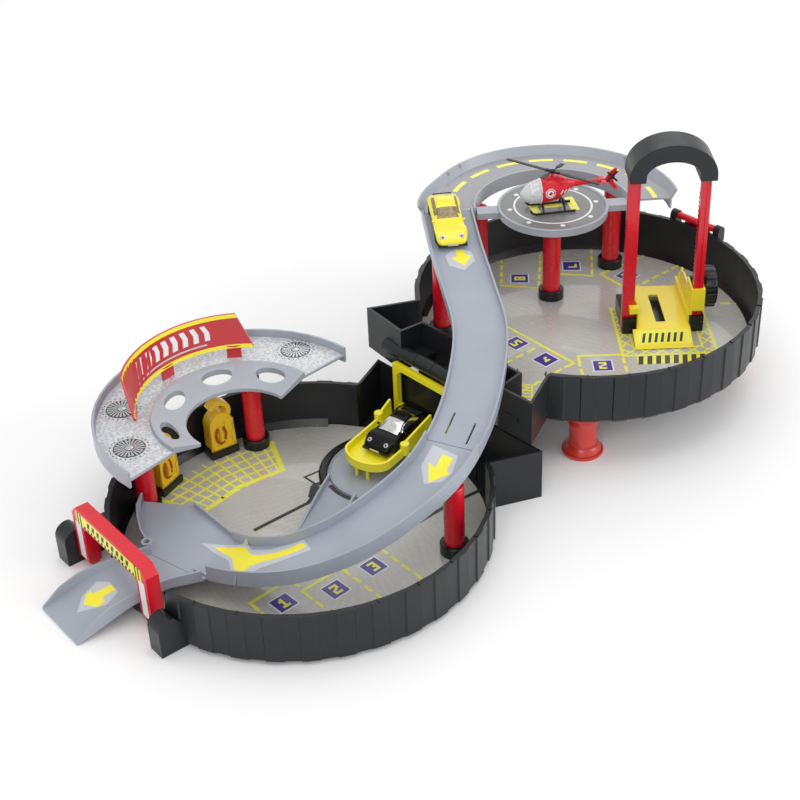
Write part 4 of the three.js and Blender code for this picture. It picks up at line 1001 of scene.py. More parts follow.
@dataclass
class Press:
    """Lays thin closed films of ink on the garage's surfaces.

    Attributes:
        film: how far the ink stands over its surface.
        sink: how far it reaches into it.
        mesh_size: the longest edge of a film that is bent over a surface.
        rise: how far each film of a set stands over the one before, where they cross.
    """

    film: float = 0.12
    sink: float = 0.06
    mesh_size: float = 4.0
    rise: float = 0.003

    def flat(self, outlines: Iterable[Outline], z: float, lift: float = 0.0) -> Solid:
        """Films on a level surface.

        Args:
            outlines: the films' outlines in plan.
            z: the surface's height.
            lift: how far they are lifted over other films.

        Returns:
            The films.
        """
        made = Solid()
        for i, outline in enumerate(outlines):
            made.prism(outline, z - self.sink, z + self.film + lift + self.rise * i)
        return made

    def draped(self, outlines: Iterable[Outline], height: Height, lift: float = 0.0) -> Solid:
        """Films that follow a surface whose height is given for each place in plan.

        Args:
            outlines: the films' outlines in plan.
            height: the surface's height at a place, or None off its edge.
            lift: how far the film is lifted over another.

        Returns:
            The films.
        """
        bm = bmesh.new()
        for outline in outlines:
            bm.faces.new([bm.verts.new((x, y, 0)) for x, y in outline])
        bmesh.ops.triangulate(bm, faces=bm.faces)
        for _ in range(4):
            long_edges = [e for e in bm.edges if e.calc_length() > self.mesh_size]
            if not long_edges:
                break
            bmesh.ops.subdivide_edges(bm, edges=long_edges, cuts=1)
            bmesh.ops.triangulate(bm, faces=bm.faces)
        bm.verts.ensure_lookup_table()
        tops, last = [], 0.0
        for vert in bm.verts:
            found = height(vert.co.x, vert.co.y)
            last = last if found is None else found
            tops.append((vert.co.x, vert.co.y, last + self.film + lift))
        unders = [(x, y, z - self.film - lift - self.sink) for x, y, z in tops]
        count = len(tops)
        faces = []
        for face in bm.faces:
            loop = [v.index for v in face.verts]
            faces.append(loop)
            faces.append([count + i for i in reversed(loop)])
        for edge in bm.edges:
            if len(edge.link_faces) == 1:
                a, b = (v.index for v in edge.verts)
                faces.append((a, b, b + count, a + count))
        bm.free()
        return Solid().add(tops + unders, faces)

    def arrow(self, name: str, outlines: Sequence[Outline], height: Height) -> None:
        """Print an arrow on its pale field: the field's outline in plan, then the arrow's."""
        show(name + "_arrow_field", self.draped(outlines[:1], height), Look.INK_PALE)
        show(name + "_arrow", self.draped(outlines[1:], height, 0.08), Look.INK_ARROW)


def show(name: str, solid: Solid, finish: Finish, body: Body = Body.BASE) -> Thing:
    """Put a solid on show as it is."""
    return piece(name, solid.mesh(name), finish, body)


class Digit(Enum):
    """Plain bay numbers, as the bars of a seven-bar figure."""

    ONE = "std"
    TWO = "abged"
    THREE = "abgcd"
    FOUR = "fgbc"
    FIVE = "afgcd"
    SIX = "afgedc"
    SEVEN = "abc"
    EIGHT = "abcdefg"

    def bars(self, width: float, height: float, pen: float) -> list[list[Plan]]:
        """The figure's bars, centred on the origin.

        Args:
            width: the figure's width.
            height: its height.
            pen: the width of its bars.

        Returns:
            The bars' outlines.
        """
        x, y, mid = width / 2, height / 2, pen / 2
        sides = {
            "a": ((-x, x), (y - pen, y)),
            "d": ((-x, x), (-y, pen - y)),
            "g": ((pen - x, x - pen), (-mid, mid)),
            "f": ((-x, pen - x), (0, y - pen)),
            "b": ((x - pen, x), (0, y - pen)),
            "e": ((-x, pen - x), (pen - y, 0)),
            "c": ((x - pen, x), (pen - y, 0)),
            "s": ((-mid, mid), (pen - y, y)),
            "t": ((-x * 0.85, -mid), (y - pen * 1.8, y - pen * 0.8)),
        }
        return [rectangle(*sides[letter]) for letter in self.value]


# Bay lines in plan: whether a run is broken into dashes, and its points
LOWER_BAYS = (
    (False, [(-84.3, -48.6), (-84.1, -38.8), (-46.0, -38.8), (-46.2, -49)]),
    (True, [(-84.6, -53), (-84.8, -108)]),
    (False, [(-48.1, -67.3), (-48, -55.8), (26.6, -55.8), (26.6, -68)]),
    (True, [(-48.3, -72.5), (-49.4, -130)]),
    (True, [(-10.2, -57.6), (-12.6, -136)]),
    (True, [(26, -72.8), (24, -134)]),
)
UPPER_BAYS = (
    (False, [(277.3, 47), (273.9, -34.6), (264.3, -33.6)]),
    (True, [(267.6, 5.4), (214, 8.6)]),
    (True, [(260.2, -33.2), (196, -33)]),
    (False, [(274.4, -40.6), (284.8, -29.6), (312.4, -54.4)]),
    (True, [(271.3, -44.7), (233, -92)]),
    (True, [(309.5, -58.4), (282, -91)]),
    (False, [(326.4, 102.6), (346.8, 74.7)]),
    (True, [(329, 105.4), (372, 147)]),
    (True, [(349.6, 77.4), (410, 131.2)]),
    (False, [(379.3, 78.9), (397.9, 54.9)]),
    (True, [(400.4, 57), (444, 97)]),
    (False, [(402.6, 23.5), (405.8, 51.5), (416, 50.4)]),
    (True, [(419.5, 50), (466, 45)]),
    (True, [(406, 12.6), (468, 10)]),
    (True, [(430, -52), (456, -78)]),
    (True, [(466, -38), (471, -50)]),
)

# Printed arrows in plan, each with its pale field first
UPPER_ARROW = (
    [(239.2, 75.6), (228.6, 74.5), (222.4, 62.9), (228, 50.5), (243, 52.8), (248.5, 62.7), (246.1, 69.2)],
    [(239.7, 73.6), (235.9, 67.3), (230.1, 68.2), (231.8, 54.4), (245.2, 59.3), (242.3, 64.1), (245.5, 68.2)],
)
LOWER_ARROW = (
    [(77.9, -67.3), (82.2, -90), (66.9, -99.2), (56.5, -98.5), (47.5, -89.3), (58.3, -74.7), (73.1, -69.1)],
    [(64.0, -76.8), (63.6, -84.7), (76.0, -79.6), (77.9, -89.1), (67.1, -93.5), (65.6, -98.1), (50.4, -91.3)],
)
CHUTE_ARROW = (
    [(-158.2, 49), (-152.8, 39.9), (-154.6, 26.4), (-166.7, 24.2), (-183.5, 39.7), (-173.3, 48.1)],
    [(-153.8, 36.9), (-154.3, 29.8), (-163.9, 33), (-165.7, 28), (-171.8, 29), (-176.5, 40.8), (-170.4, 46.4),
     (-166.3, 46.7), (-166.8, 42.6)],
)
FOOT_ARROW = (
    [(-37.4, -49), (-55.6, -30.6), (-61.4, -15.6), (-57.8, -4.8), (-80.4, 24), (-80, -10.6), (-95.6, -39),
     (-74, -43.4), (-56, -55), (-42.4, -64)],
    [(-40.6, -50.2), (-48.1, -45.7), (-56.7, -38.3), (-64, -29.1), (-66.2, -20), (-61.2, -6.6), (-76, 13.5),
     (-76.3, -10.2), (-82.5, -20.6), (-92.3, -37.6), (-77.2, -33.4), (-68.8, -37.9), (-58.8, -47),
     (-48.6, -54.7), (-41.6, -57.4)],
)


# The carry case


@dataclass
class CarryCase:
    """The two trays with their floor sheets, feet, hinge and latch."""

    packed: Packed
    press: Press
    lower_centre: Plan = (0.0, 0.0)
    upper_centre: Plan = (327.0, 0.0)
    radius: float = 150.0
    height: float = 45.0
    floor: float = 2.7
    rim_notch: Spot = (3.4, 0.5, 1.4)
    notches: int = 9
    notch_step: float = 13.0
    seams: int = 17
    seam_step: float = 10.0
    collar: float = 11.35
    collar_height: float = 12.4
    line: float = 2.5
    dash: float = 9.0
    space: float = 4.2
    plaque: float = 15.4
    plaque_edge: float = 1.2
    posts: tuple[str, ...] = (
        "workshop_post_right", "workshop_post_left", "lower_ramp_post", "upper_ramp_post", "helipad_post",
        "ring_post_right", "ring_post_back",
    )

    def build(self) -> None:
        """Build the whole case."""
        for node in ("lower_tray", "upper_tray"):
            self.packed.remould(node, Look.CASE, 0.45)
        for node in ("lower_floor_card", "upper_floor_card"):
            self.packed.paint(node, Look.FLOOR)
        self.packed.paint("case_hinge_pin", Look.STEEL)
        self.packed.remould("latch_bar", Look.RED, 0.3)
        self.build_posts()
        self.build_feet()
        self.build_rims()
        self.build_skirting()
        self.print_lower_floor()
        self.print_upper_floor()

    def build_posts(self) -> None:
        """Round red posts, each in a black collar."""
        collars = []
        for node in self.posts:
            low, high = self.packed.box(node)
            middle = (low + high) / 2
            radius = (high.x - low.x) / 2
            chamfer = 0.6
            profile = [
                (radius - chamfer, low.z), (radius, low.z + chamfer), (radius, high.z - chamfer),
                (radius - chamfer, high.z),
            ]
            body = Solid().turn(profile).moved(Matrix.Translation((middle.x, middle.y, 0)))
            piece(node + "_tube", body.mesh(node), Look.RED, Body.BASE, [node])
            base = low.z - self.floor
            foot, rim = base + 2.9, base + self.collar_height
            ring = [
                (radius + 0.4, foot), (self.collar, foot), (self.collar, rim - 0.8), (self.collar - 0.8, rim),
                (radius + 0.4, rim),
            ]
            spot = (middle.x, middle.y)
            loops = [[(*around(spot, r, 7.5 * k), z) for r, z in ring] for k in range(49)]
            collars.append(Solid().loft(loops, capped=False).mesh("collar"))
        piece("post_collars", merge("post_collars", collars), Look.SMOOTH_BLACK)

    def build_feet(self) -> None:
        """Red spool feet under the upper tray."""
        for node in ("foot_inner_front", "foot_inner_back", "foot_outer_front", "foot_outer_back"):
            low, high = self.packed.box(node)
            middle = (low + high) / 2
            top = high.z
            profile = [
                (15.8, 0), (17.2, 0.5), (17.5, 1.6), (17.2, 2.8), (15.6, 3.4), (14.6, 6.4), (13.2, 8.6),
                (12.1, 9.4), (12.1, 11.6), (11.6, 12.4), (11.5, top - 19), (12.4, top - 17.4),
                (12.9, top - 15), (12.4, top - 12.6), (11.6, top - 11.2), (12.6, top - 9), (13, top - 7.4),
                (13, top),
            ]
            spool = Solid().turn(profile, 56).moved(Matrix.Translation((middle.x, middle.y, 0)))
            piece(node + "_spool", spool.mesh(node), Look.ORANGE_RED, Body.BASE, [node])

    def build_rims(self) -> None:
        """Small moulded ticks on the rims, and the seams between the lands of the tread."""
        ticks = []
        seams = []
        long, wide, tall = self.rim_notch
        tick = Solid().box((-long, 0.1), (-wide, wide), (self.height - tall, self.height + 0.7))
        seam = Solid().box((-1.1, 0.12), (-0.28, 0.28), (5, self.height - 0.4))
        for tray, centre, first in (("lower", self.lower_centre, 200.0), ("upper", self.upper_centre, 196.0)):
            low, _ = self.packed.box(tray + "_floor_card")
            place = Matrix.Translation((*centre, low.z - self.floor))
            rim, side = self.radius - 0.8, self.radius - 1
            ticks.append(ring_of("tick", tick, Look.CASE, self.notches, rim, first, self.notch_step, place))
            mesh = ring_of("seam", seam, Look.SMOOTH_BLACK, self.seams, side, 189.9, self.seam_step, place)
            seams.append(mesh)
        piece("rim_ticks", merge("rim_ticks", ticks), Look.CASE)
        piece("tread_seams", merge("tread_seams", seams), Look.SMOOTH_BLACK)

    def build_skirting(self) -> None:
        """The rolled foot of each tray's inner wall, where the floor sheet is tucked in."""
        made = Solid()
        section = [(145.9, -0.2), (145.9, 6.2), (144.9, 5.4), (143.7, 2.6), (141.2, 0.35), (141, -0.2)]
        walls = ((self.lower_centre, 3.3, 42.0, 152.0), (self.upper_centre, 48.3, -112.0, 128.0))
        for centre, z, start, end in walls:
            count = round((end - start) / 3)
            made.loft([
                [(*around(centre, r, start + (end - start) * k / count), z + h) for r, h in section]
                for k in range(count + 1)
            ])
        show("inner_skirting", made, Look.SMOOTH_BLACK)

    def lay_plaques(self, prefix: str, spots: Iterable[tuple[Plan, float, Digit]], z: float) -> None:
        """Print one floor's square plaques: white edges, purple fields and plain numbers.

        Args:
            prefix: what the pieces' names start with.
            spots: each plaque's centre, bearing and number.
            z: the floor's height.
        """
        half = self.plaque / 2
        edges, fields, figures = Solid(), Solid(), Solid()
        for at, degrees, digit in spots:
            place = set_down(*at, degrees)
            for solid, size, lift in ((edges, half + self.plaque_edge, 0.0), (fields, half, 0.06)):
                outline = along(place, rectangle((-size, size), (-size, size)))
                solid.join(self.press.flat([outline], z, lift))
            bars = digit.bars(half * 0.86, half * 1.36, half * 0.3)
            figures.join(self.press.flat([along(place, bar) for bar in bars], z, 0.14))
        show(prefix + "_plaque_edge", edges, Look.INK_WHITE)
        show(prefix + "_plaque_field", fields, Look.INK_PURPLE)
        show(prefix + "_plaque_figure", figures, Look.INK_YELLOW)

    def mark_bays(self, name: str, runs: Iterable[tuple[bool, list[Plan]]], z: float) -> None:
        """Print bay lines.

        Args:
            name: the piece's name.
            runs: whether each run is broken into dashes, and its points.
            z: the floor's height.
        """
        lines: list[list[Plan]] = []
        for broken, points in runs:
            if broken:
                lines += dashes(*points, self.line, self.dash, self.space)
            else:
                lines += stroke(points, self.line)
        show(name, self.press.flat(lines, z), Look.INK_YELLOW)

    def print_lower_floor(self) -> None:
        """Bays, plaques, the pump forecourt's grid and the dark guide lines."""
        z = self.packed.box("lower_floor_card")[1].z
        self.mark_bays("lower_bay_lines", LOWER_BAYS, z)
        spots = [((-66.2, -56.2), 0, Digit.ONE), ((-29, -72), 0, Digit.TWO), ((8.6, -72.2), 0, Digit.THREE)]
        self.lay_plaques("lower", spots, z)
        dark = stroke([(-27, 27), (24, 24), (31, 27)], 3.4)
        dark += stroke([(38, -56.5), (100, -57.5), (133, -62)], 3.4)
        dark += stroke([(33, 28), (43, 38), (47, 37.4)], 4.4)
        dark += stroke([(44.5, 38), (44.2, 52.6), (59, 50.6)], 2.0)
        dark.append([(30, 24), (41, 24), (45, 34), (40, 40), (29, 30)])
        show("lower_dark_lines", self.press.flat(dark, z), Look.INK_DARK)
        section = [(44.4, -0.2), (44.4, 2.6), (45.2, 3.2), (50, 3.2), (51.2, 2.2), (51.6, -0.2)]
        ridge = Solid().loft([
            [(*around((94, 14), r, 72 + 84 * k / 28), z + h) for r, h in section] for k in range(29)
        ])
        show("turntable_ridge", ridge, Look.SMOOTH_BLACK)
        self.print_forecourt(z)

    def print_forecourt(self, z: float) -> None:
        """The yellow grid in front of the pumps: a frame with slanting bars both ways.

        Args:
            z: the floor's height.
        """
        frame = stroke([(55.6, 111), (38, 73.5), (-1, 80.5), (-44, 74.5), (-58.5, 113)], 4.4)
        bars = []
        for i in range(10):
            share = (i + 0.6) / 10
            far = (-55 + 108 * share, 126 - 14 * abs(share - 0.45))
            near = (-41 + 79 * share, 79 - 4 * share)
            bars += stroke([far, near], 1.9)
        for i in range(4):
            rise = 9.5 * (i + 1)
            left, right = (-46.5 - rise * 0.3, 76 + rise), (39 + rise * 0.42, 74 + rise)
            bars += stroke([left, (-1, 81 + rise), right], 1.9)
        show("forecourt_frame", self.press.flat(frame, z), Look.INK_YELLOW)
        show("forecourt_grid", self.press.flat(bars, z), Look.INK_YELLOW)

    def print_upper_floor(self) -> None:
        """Bays, plaques and a hatched patch round the lift."""
        z = self.packed.box("upper_floor_card")[1].z
        self.mark_bays("upper_bay_lines", UPPER_BAYS, z)
        patch = [(210.5, -18), (224.5, -32.3), (204.4, -51.2), (190.8, -37.1)]
        hatch = stroke([*patch, patch[0]], 1.7)
        for k in range(6):
            drop = 20.1 / 6 * k
            near = (patch[0][0] - drop, patch[0][1] - drop * 0.95)
            far = (patch[1][0] - drop - 3.3, patch[1][1] - drop * 0.95 - 3.1)
            hatch += stroke([near, far], 1.5)
        show("upper_hatch", self.press.flat(hatch, z), Look.INK_YELLOW)
        spots = [
            ((347.6, 99.8), 225, Digit.EIGHT),
            ((398.6, 81.4), 225, Digit.SEVEN),
            ((421, 32), 186, Digit.SIX),
            ((263, 23), -92, Digit.FIVE),
            ((261.3, -13.5), -92, Digit.FOUR),
            ((288, -54.6), -42, Digit.TWO),
        ]
        self.lay_plaques("upper", spots, z)


# The decks


@dataclass
class RingDeck:
    """The ring road, its printed sheet and the landing pad."""

    packed: Packed
    press: Press
    centre: Plan = (344.0, 57.0)
    road: float = 141.0
    pad_top: float = 140.0
    inner: float = 70.6
    outer: float = 103.4
    start: float = -38.0
    end: float = 138.0
    dash_radius: float = 91.0
    dash_half: float = 2.1
    pad_radius: float = 48.4

    def build(self) -> None:
        """Build the deck, its sheet and the pad."""
        self.packed.remould("ring_deck", Look.DECK, 0.35, 40)
        self.packed.remould("helipad", Look.DECK, 0.4)
        sheet = band(self.centre, self.inner, self.outer, self.start, self.end)
        show("ring_road_sheet", self.press.flat([sheet], self.road), Look.ROAD_SHEET)
        near, far = self.dash_radius - self.dash_half, self.dash_radius + self.dash_half
        dash = Solid().prism(band((-self.dash_radius, 0), near, far, -7, 7), 0, 0.22)
        place = Matrix.Translation((*self.centre, self.road))
        mesh = ring_of("ring_dashes", dash, Look.INK_YELLOW, 9, self.dash_radius, -31, 20.2, place)
        piece("ring_dashes", mesh, Look.INK_YELLOW)
        self.build_rim()
        self.print_pad()

    def build_rim(self) -> None:
        """The pad's raised rim, and the slots of the guard round the road."""
        section = [(45.9, -0.1), (48.6, -0.1), (48.9, 0.5), (48.5, 1.1), (47.2, 1.2), (46.1, 0.6)]
        loops = [[(*around(self.centre, r, 5 * k), self.pad_top + h) for r, h in section] for k in range(73)]
        show("pad_rim", Solid().loft(loops, capped=False), Look.DECK)
        slot = Solid().box((-0.9, 0.35), (-0.5, 0.5), (0.8, 7.2))
        place = Matrix.Translation((*self.centre, self.road))
        angles = (5.0, 95.0, 105.0)
        seams = [ring_of("guard_seam", slot, Look.INK_PALE, 1, 107.2, angle, 0, place) for angle in angles]
        piece("guard_seams", merge("guard_seams", seams), Look.DECK)

    def print_pad(self) -> None:
        """The pad's round sheet: a white ring, eight lamps and plain yellow bars."""
        disc = [around(self.centre, self.pad_radius - 2.6, 5 * k) for k in range(72)]
        show("pad_sheet", self.press.flat([disc], self.pad_top), Look.PAD_SHEET)
        halves = [band(self.centre, 33.1, 34.9, a, a + 180) for a in (0, 180)]
        show("pad_ring", self.press.flat(halves, self.pad_top, 0.08), Look.INK_WHITE)
        lamp = Solid().prism([around((0, 0), 2.3, 45 * k) for k in range(8)], 0, 0.22)
        place = Matrix.Translation((*self.centre, self.pad_top))
        mesh = ring_of("pad_lamps", lamp, Look.INK_WHITE, 8, 38.6, 10.5, 45, place)
        piece("pad_lamps", mesh, Look.INK_WHITE)
        turn = set_down(*self.centre, -33)
        sizes = (((-21, -13.5), (-13, 13)), ((13.5, 21), (-13, 13)), ((-8, 8), (-3.4, 3.4)))
        bars = [along(turn, rectangle(*size)) for size in sizes]
        show("pad_bars", self.press.flat(bars, self.pad_top, 0.08), Look.INK_YELLOW)


@dataclass
class WorkshopDeck:
    """The curved workshop deck with its plated sheet, fans and billboard."""

    packed: Packed
    press: Press
    centre: Plan = (-1.0, 70.0)
    top: float = 82.5
    inner: float = 70.0
    outer: float = 111.6
    start: float = 2.8
    end: float = 186.4
    fans: tuple[Plan, ...] = ((97.0, 23.6), (94.0, 132.8), (92.0, 167.3))
    fan_radius: float = 12.5
    blades: int = 22
    board_low: Plan = (43.0, 152.0)
    board_high: Plan = (52.5, 139.7)
    board_radius: float = 80.0
    board_lean: float = 7.0
    board_foot: float = 92.0
    board_rise: float = 28.0

    def build(self) -> None:
        """Build the deck, its sheet and its billboard."""
        self.packed.remould("workshop_deck", Look.DECK, 0.35, 40)
        self.packed.remould("billboard", Look.SIGN_RED, 0.25, 40)
        sheet = band(self.centre, self.inner, self.outer, self.start, self.end)
        show("plated_sheet", self.press.flat([sheet], self.top), Look.PLATE)
        self.build_treads()
        self.build_fans()
        self.build_sign()

    def build_treads(self) -> None:
        """The raised lozenges of the tread plate, turned one way and then the other."""
        rows = []
        place = Matrix.Translation((*self.centre, self.top))
        for i in range(9):
            radius = self.inner + 3 + 4.4 * i
            tick = Solid().prism([(-1.5, 0), (0, 0.4), (1.5, 0), (0, -0.4)], 0.1, 0.32)
            tick.moved(set_down(0, 0, 45 if i % 2 else -45))
            step = math.degrees(5.2 / radius)
            count = int((self.end - self.start - 2) / step)
            rows.append(ring_of("tread", tick, Look.PLATE, count, radius, self.start + 1, step, place))
        piece("tread_lozenges", merge("tread_lozenges", rows), Look.PLATE)

    def build_fans(self) -> None:
        """Round fans in the plated sheet: dark wells with bright blades and a hub, ringed by studs."""
        wells, blades, studs = Solid(), [], []
        for radius, bearing in self.fans:
            at = around(self.centre, radius, bearing)
            place = Matrix.Translation((*at, self.top))
            well = [around(at, self.fan_radius, 10 * k) for k in range(36)]
            wells.join(self.press.flat([well], self.top, 0.12))
            near, far = self.fan_radius * 0.3, self.fan_radius * 0.95
            blade = Solid().prism([(near, -0.35), (far, -0.55), (far - 0.6, 1.15), (near, 0.4)], 0.2, 0.5)
            step = 360 / self.blades
            blades.append(ring_of("blade", blade, Look.INK_PALE, self.blades, 0, bearing, step, place))
            hub = Solid().turn([(3.2, 0.2), (3.2, 0.7), (2.2, 1.0), (0.3, 1.05)], 20)
            blades.append(hub.moved(place).mesh("hub"))
            stud = Solid().prism([around((0, 0), 0.55, 60 * k) for k in range(6)], 0.1, 0.4)
            studs.append(ring_of("stud", stud, Look.INK_DARK, 24, self.fan_radius + 2.4, 0, 15, place))
        show("fan_wells", wells, Look.INK_DARK)
        piece("fan_blades", merge("fan_blades", blades), Look.TRIM_SILVER)
        piece("fan_studs", merge("fan_studs", studs), Look.INK_DARK)

    def sign_spot(self, share: float, up: float, out: float) -> Spot:
        """A place on the billboard's front, by shares along and up, moved out of it.

        Args:
            share: how far along the board it is.
            up: how far up.
            out: how far out of the board, in millimetres.

        Returns:
            The place, in millimetres.
        """
        radius = self.board_radius + self.board_lean * up - out
        low = self.board_low[0] + (self.board_low[1] - self.board_low[0]) * share
        high = self.board_high[0] + (self.board_high[1] - self.board_high[0]) * share
        spot = around(self.centre, radius, low + (high - low) * up)
        return (*spot, self.board_foot + self.board_rise * up)

    def sign_film(self, along_share: Plan, up_share: Plan, slant: float = 0.0, lift: float = 0.15) -> Solid:
        """A film on the billboard between shares along and up, slanted by a share.

        Args:
            along_share: where it starts and ends along the board.
            up_share: where it starts and ends upwards.
            slant: how far its upper edge is moved along.
            lift: how far it stands out of the board.

        Returns:
            The film.
        """
        low, high = up_share
        steps = max(2, round(abs(along_share[1] - along_share[0]) * 30))
        loops = []
        for i in range(steps + 1):
            share = along_share[0] + (along_share[1] - along_share[0]) * i / steps
            top = share + slant
            corners = ((share, low, -0.1), (share, low, lift), (top, high, lift), (top, high, -0.1))
            loops.append([self.sign_spot(*corner) for corner in corners])
        return Solid().loft(loops)

    def build_sign(self) -> None:
        """The billboard's print: yellow borders, a pale line and a row of slanted bars."""
        borders = self.sign_film((0.0, 1.0), (0.0, 0.11)).join(self.sign_film((0.0, 1.0), (0.89, 1.0)))
        show("sign_borders", borders, Look.INK_ARROW)
        bars = Solid()
        for i in range(9):
            start = 0.2 + 0.066 * i
            width = 0.03 + 0.0016 * i
            bars.join(self.sign_film((start + 0.012, start + width + 0.012), (0.34, 0.56), -0.012))
            bars.join(self.sign_film((start, start + width), (0.56, 0.78), 0.012))
        show("sign_bars", bars, Look.INK_WHITE)
        show("sign_line", self.sign_film((0.24, 0.78), (0.2, 0.245)), Look.INK_PALE)


# Ramps and gate


@dataclass
class Ramps:
    """The two lengths of ramp and their printed arrows."""

    packed: Packed
    press: Press

    def build(self) -> None:
        """Build both ramps, then print them."""
        self.packed.remould("upper_ramp", Look.RAMP, 0.3, 40)
        self.packed.remould("lower_ramp", Look.RAMP, 0.3, 40)
        self.press.arrow("upper", UPPER_ARROW, self.packed.top_of("upper_ramp"))
        lower = self.packed.top_of("lower_ramp")
        self.press.arrow("lower", LOWER_ARROW, lower)
        self.press.arrow("foot", FOOT_ARROW, lower)


@dataclass
class Gate:
    """The entrance arch with its label, and the exit chute with its arrow."""

    packed: Packed
    press: Press
    place: Matrix = field(default_factory=partial(set_down, -148.5, 41.5, 176.5))
    half: float = 46.5
    low: float = 43.4
    high: float = 54.4
    depth: float = 0.0

    def build(self) -> None:
        """Build the arch and the chute."""
        self.packed.remould("entrance_arch", Look.RED, 0.6)
        self.packed.remould("exit_chute", Look.RAMP, 0.35, 40)
        self.press.arrow("chute", CHUTE_ARROW, self.packed.top_of("exit_chute", 60.0))
        self.build_label()

    def plate(self, outline: Outline, lift: float, sink: float = 0.2) -> Solid:
        """A film on the arch's recessed face: an outline across and up."""
        loops = [[(self.depth + out, y, z) for y, z in outline] for out in (-sink, lift)]
        return Solid().loft(loops).moved(self.place)

    def build_label(self) -> None:
        """A yellow label edged with hazard stripes, with a row of plain bars in the middle."""
        label = self.plate(rectangle((-self.half, self.half), (self.low, self.high)), 0.12)
        show("arch_label", label, Look.INK_YELLOW, Body.ARCH)
        stripes = Solid()
        for i in range(15):
            y = -36 + i * 5
            low, top = self.low, self.low + 2.6
            stripes.join(self.plate([(y, low), (y + 2.4, low), (y + 3.2, top), (y + 0.8, top)], 0.2))
        for i in range(9):
            y = -30.4 + i * 7
            stripes.join(self.plate([(y, 47.4), (y + 3.4, 47.4), (y + 4.8, 52.6), (y + 1.4, 52.6)], 0.2))
        for side in (-1, 1):
            for y in (39.4, 43.4):
                line = rectangle((side * y - 0.9, side * y + 0.9), (self.low, self.high))
                stripes.join(self.plate(line, 0.2))
        show("arch_stripes", stripes, Look.INK_DARK, Body.ARCH)
        legs = Solid()
        for side in (-1, 1):
            inner, outer = sorted((side * 41.5, side * 49.5))
            legs.join(self.plate(rectangle((inner, outer), (10, 43.5)), 0.1, 0.1))
        show("arch_leg_strips", legs, Look.INK_WHITE, Body.ARCH)


# Fuel pumps


@dataclass
class FuelPump:
    """One fuel pump on its base: a rounded body with a hose recess, nozzle and open hoop."""

    packed: Packed
    side: str
    place: Matrix
    half: float = 11.0
    depth: float = 7.0
    low: float = 10.6
    shoulder: float = 33.6

    def build(self) -> None:
        """Build the pump and its base."""
        self.packed.remould("pump_base_" + self.side, Look.SMOOTH_BLACK, 0.8)
        crown = [around((0, self.shoulder), self.half, degrees) for degrees in range(0, 181, 9)]
        outline = [(-self.half, self.low), (self.half, self.low), *crown]
        body = Solid().loft([[(x, y, z) for x, z in outline] for y in (self.depth, 1 - self.depth)])
        body.join(self.collar_band()).join(self.hoop()).moved(self.place)
        node = "fuel_pump_" + self.side
        piece(node + "_body", body.mesh(node), Look.PUMP, Body.BASE, [node], 0.8)
        self.build_hose()

    def collar_band(self) -> Solid:
        """The raised bands round the body's sides and the sill under the hose.

        Returns:
            The bands.
        """
        made = Solid()
        front = -self.depth
        for x in ((-self.half, -self.half + 2.6), (self.half - 2.6, self.half)):
            made.box(x, (front, 1.5 - self.depth), (self.low, self.shoulder + 2))
        made.box((-self.half, self.half), (front, 1.5 - self.depth), (self.low, self.low + 4.2))
        made.box((2.6, self.half), (front, 1.5 - self.depth), (self.shoulder - 9, self.shoulder + 4))
        return made

    def hoop(self) -> Solid:
        """The open hoop on top: most of a flat ring.

        Returns:
            The hoop.
        """
        centre = self.shoulder + self.half
        loops = []
        for k in range(22):
            angle = math.radians(-58 + 206 * k / 21)
            across, up = math.cos(angle), math.sin(angle)
            corners = ((6.6, -4.7), (11, -4.7), (11, 4.7), (6.6, 4.7))
            loops.append([(r * across, y, centre + r * up) for r, y in corners])
        return Solid().loft(loops)

    def build_hose(self) -> None:
        """The hose looped in its recess, and the nozzle standing in it."""
        front = -self.depth + 0.2
        loop = []
        for k in range(21):
            angle = math.radians(118 + 304 * k / 20)
            loop.append((-1.6 + 4.6 * math.cos(angle), front, 24.5 + 8.2 * math.sin(angle)))
        hose = Solid().tube(loop, 1.0).moved(self.place)
        show(f"pump_hose_{self.side}", hose, Look.HOSE)
        nozzle = Solid()
        nozzle.tube([(-1.6, front - 0.2, 19), (-1.6, front - 0.3, 27), (-1.6, front + 0.4, 31.5)], 1.9)
        nozzle.tube([(-1.6, front - 0.2, 20.5), (2.2, front, 17.8)], 1.0)
        nozzle.moved(self.place)
        piece(f"pump_nozzle_{self.side}", nozzle.mesh("nozzle"), Look.PUMP)


# Lift


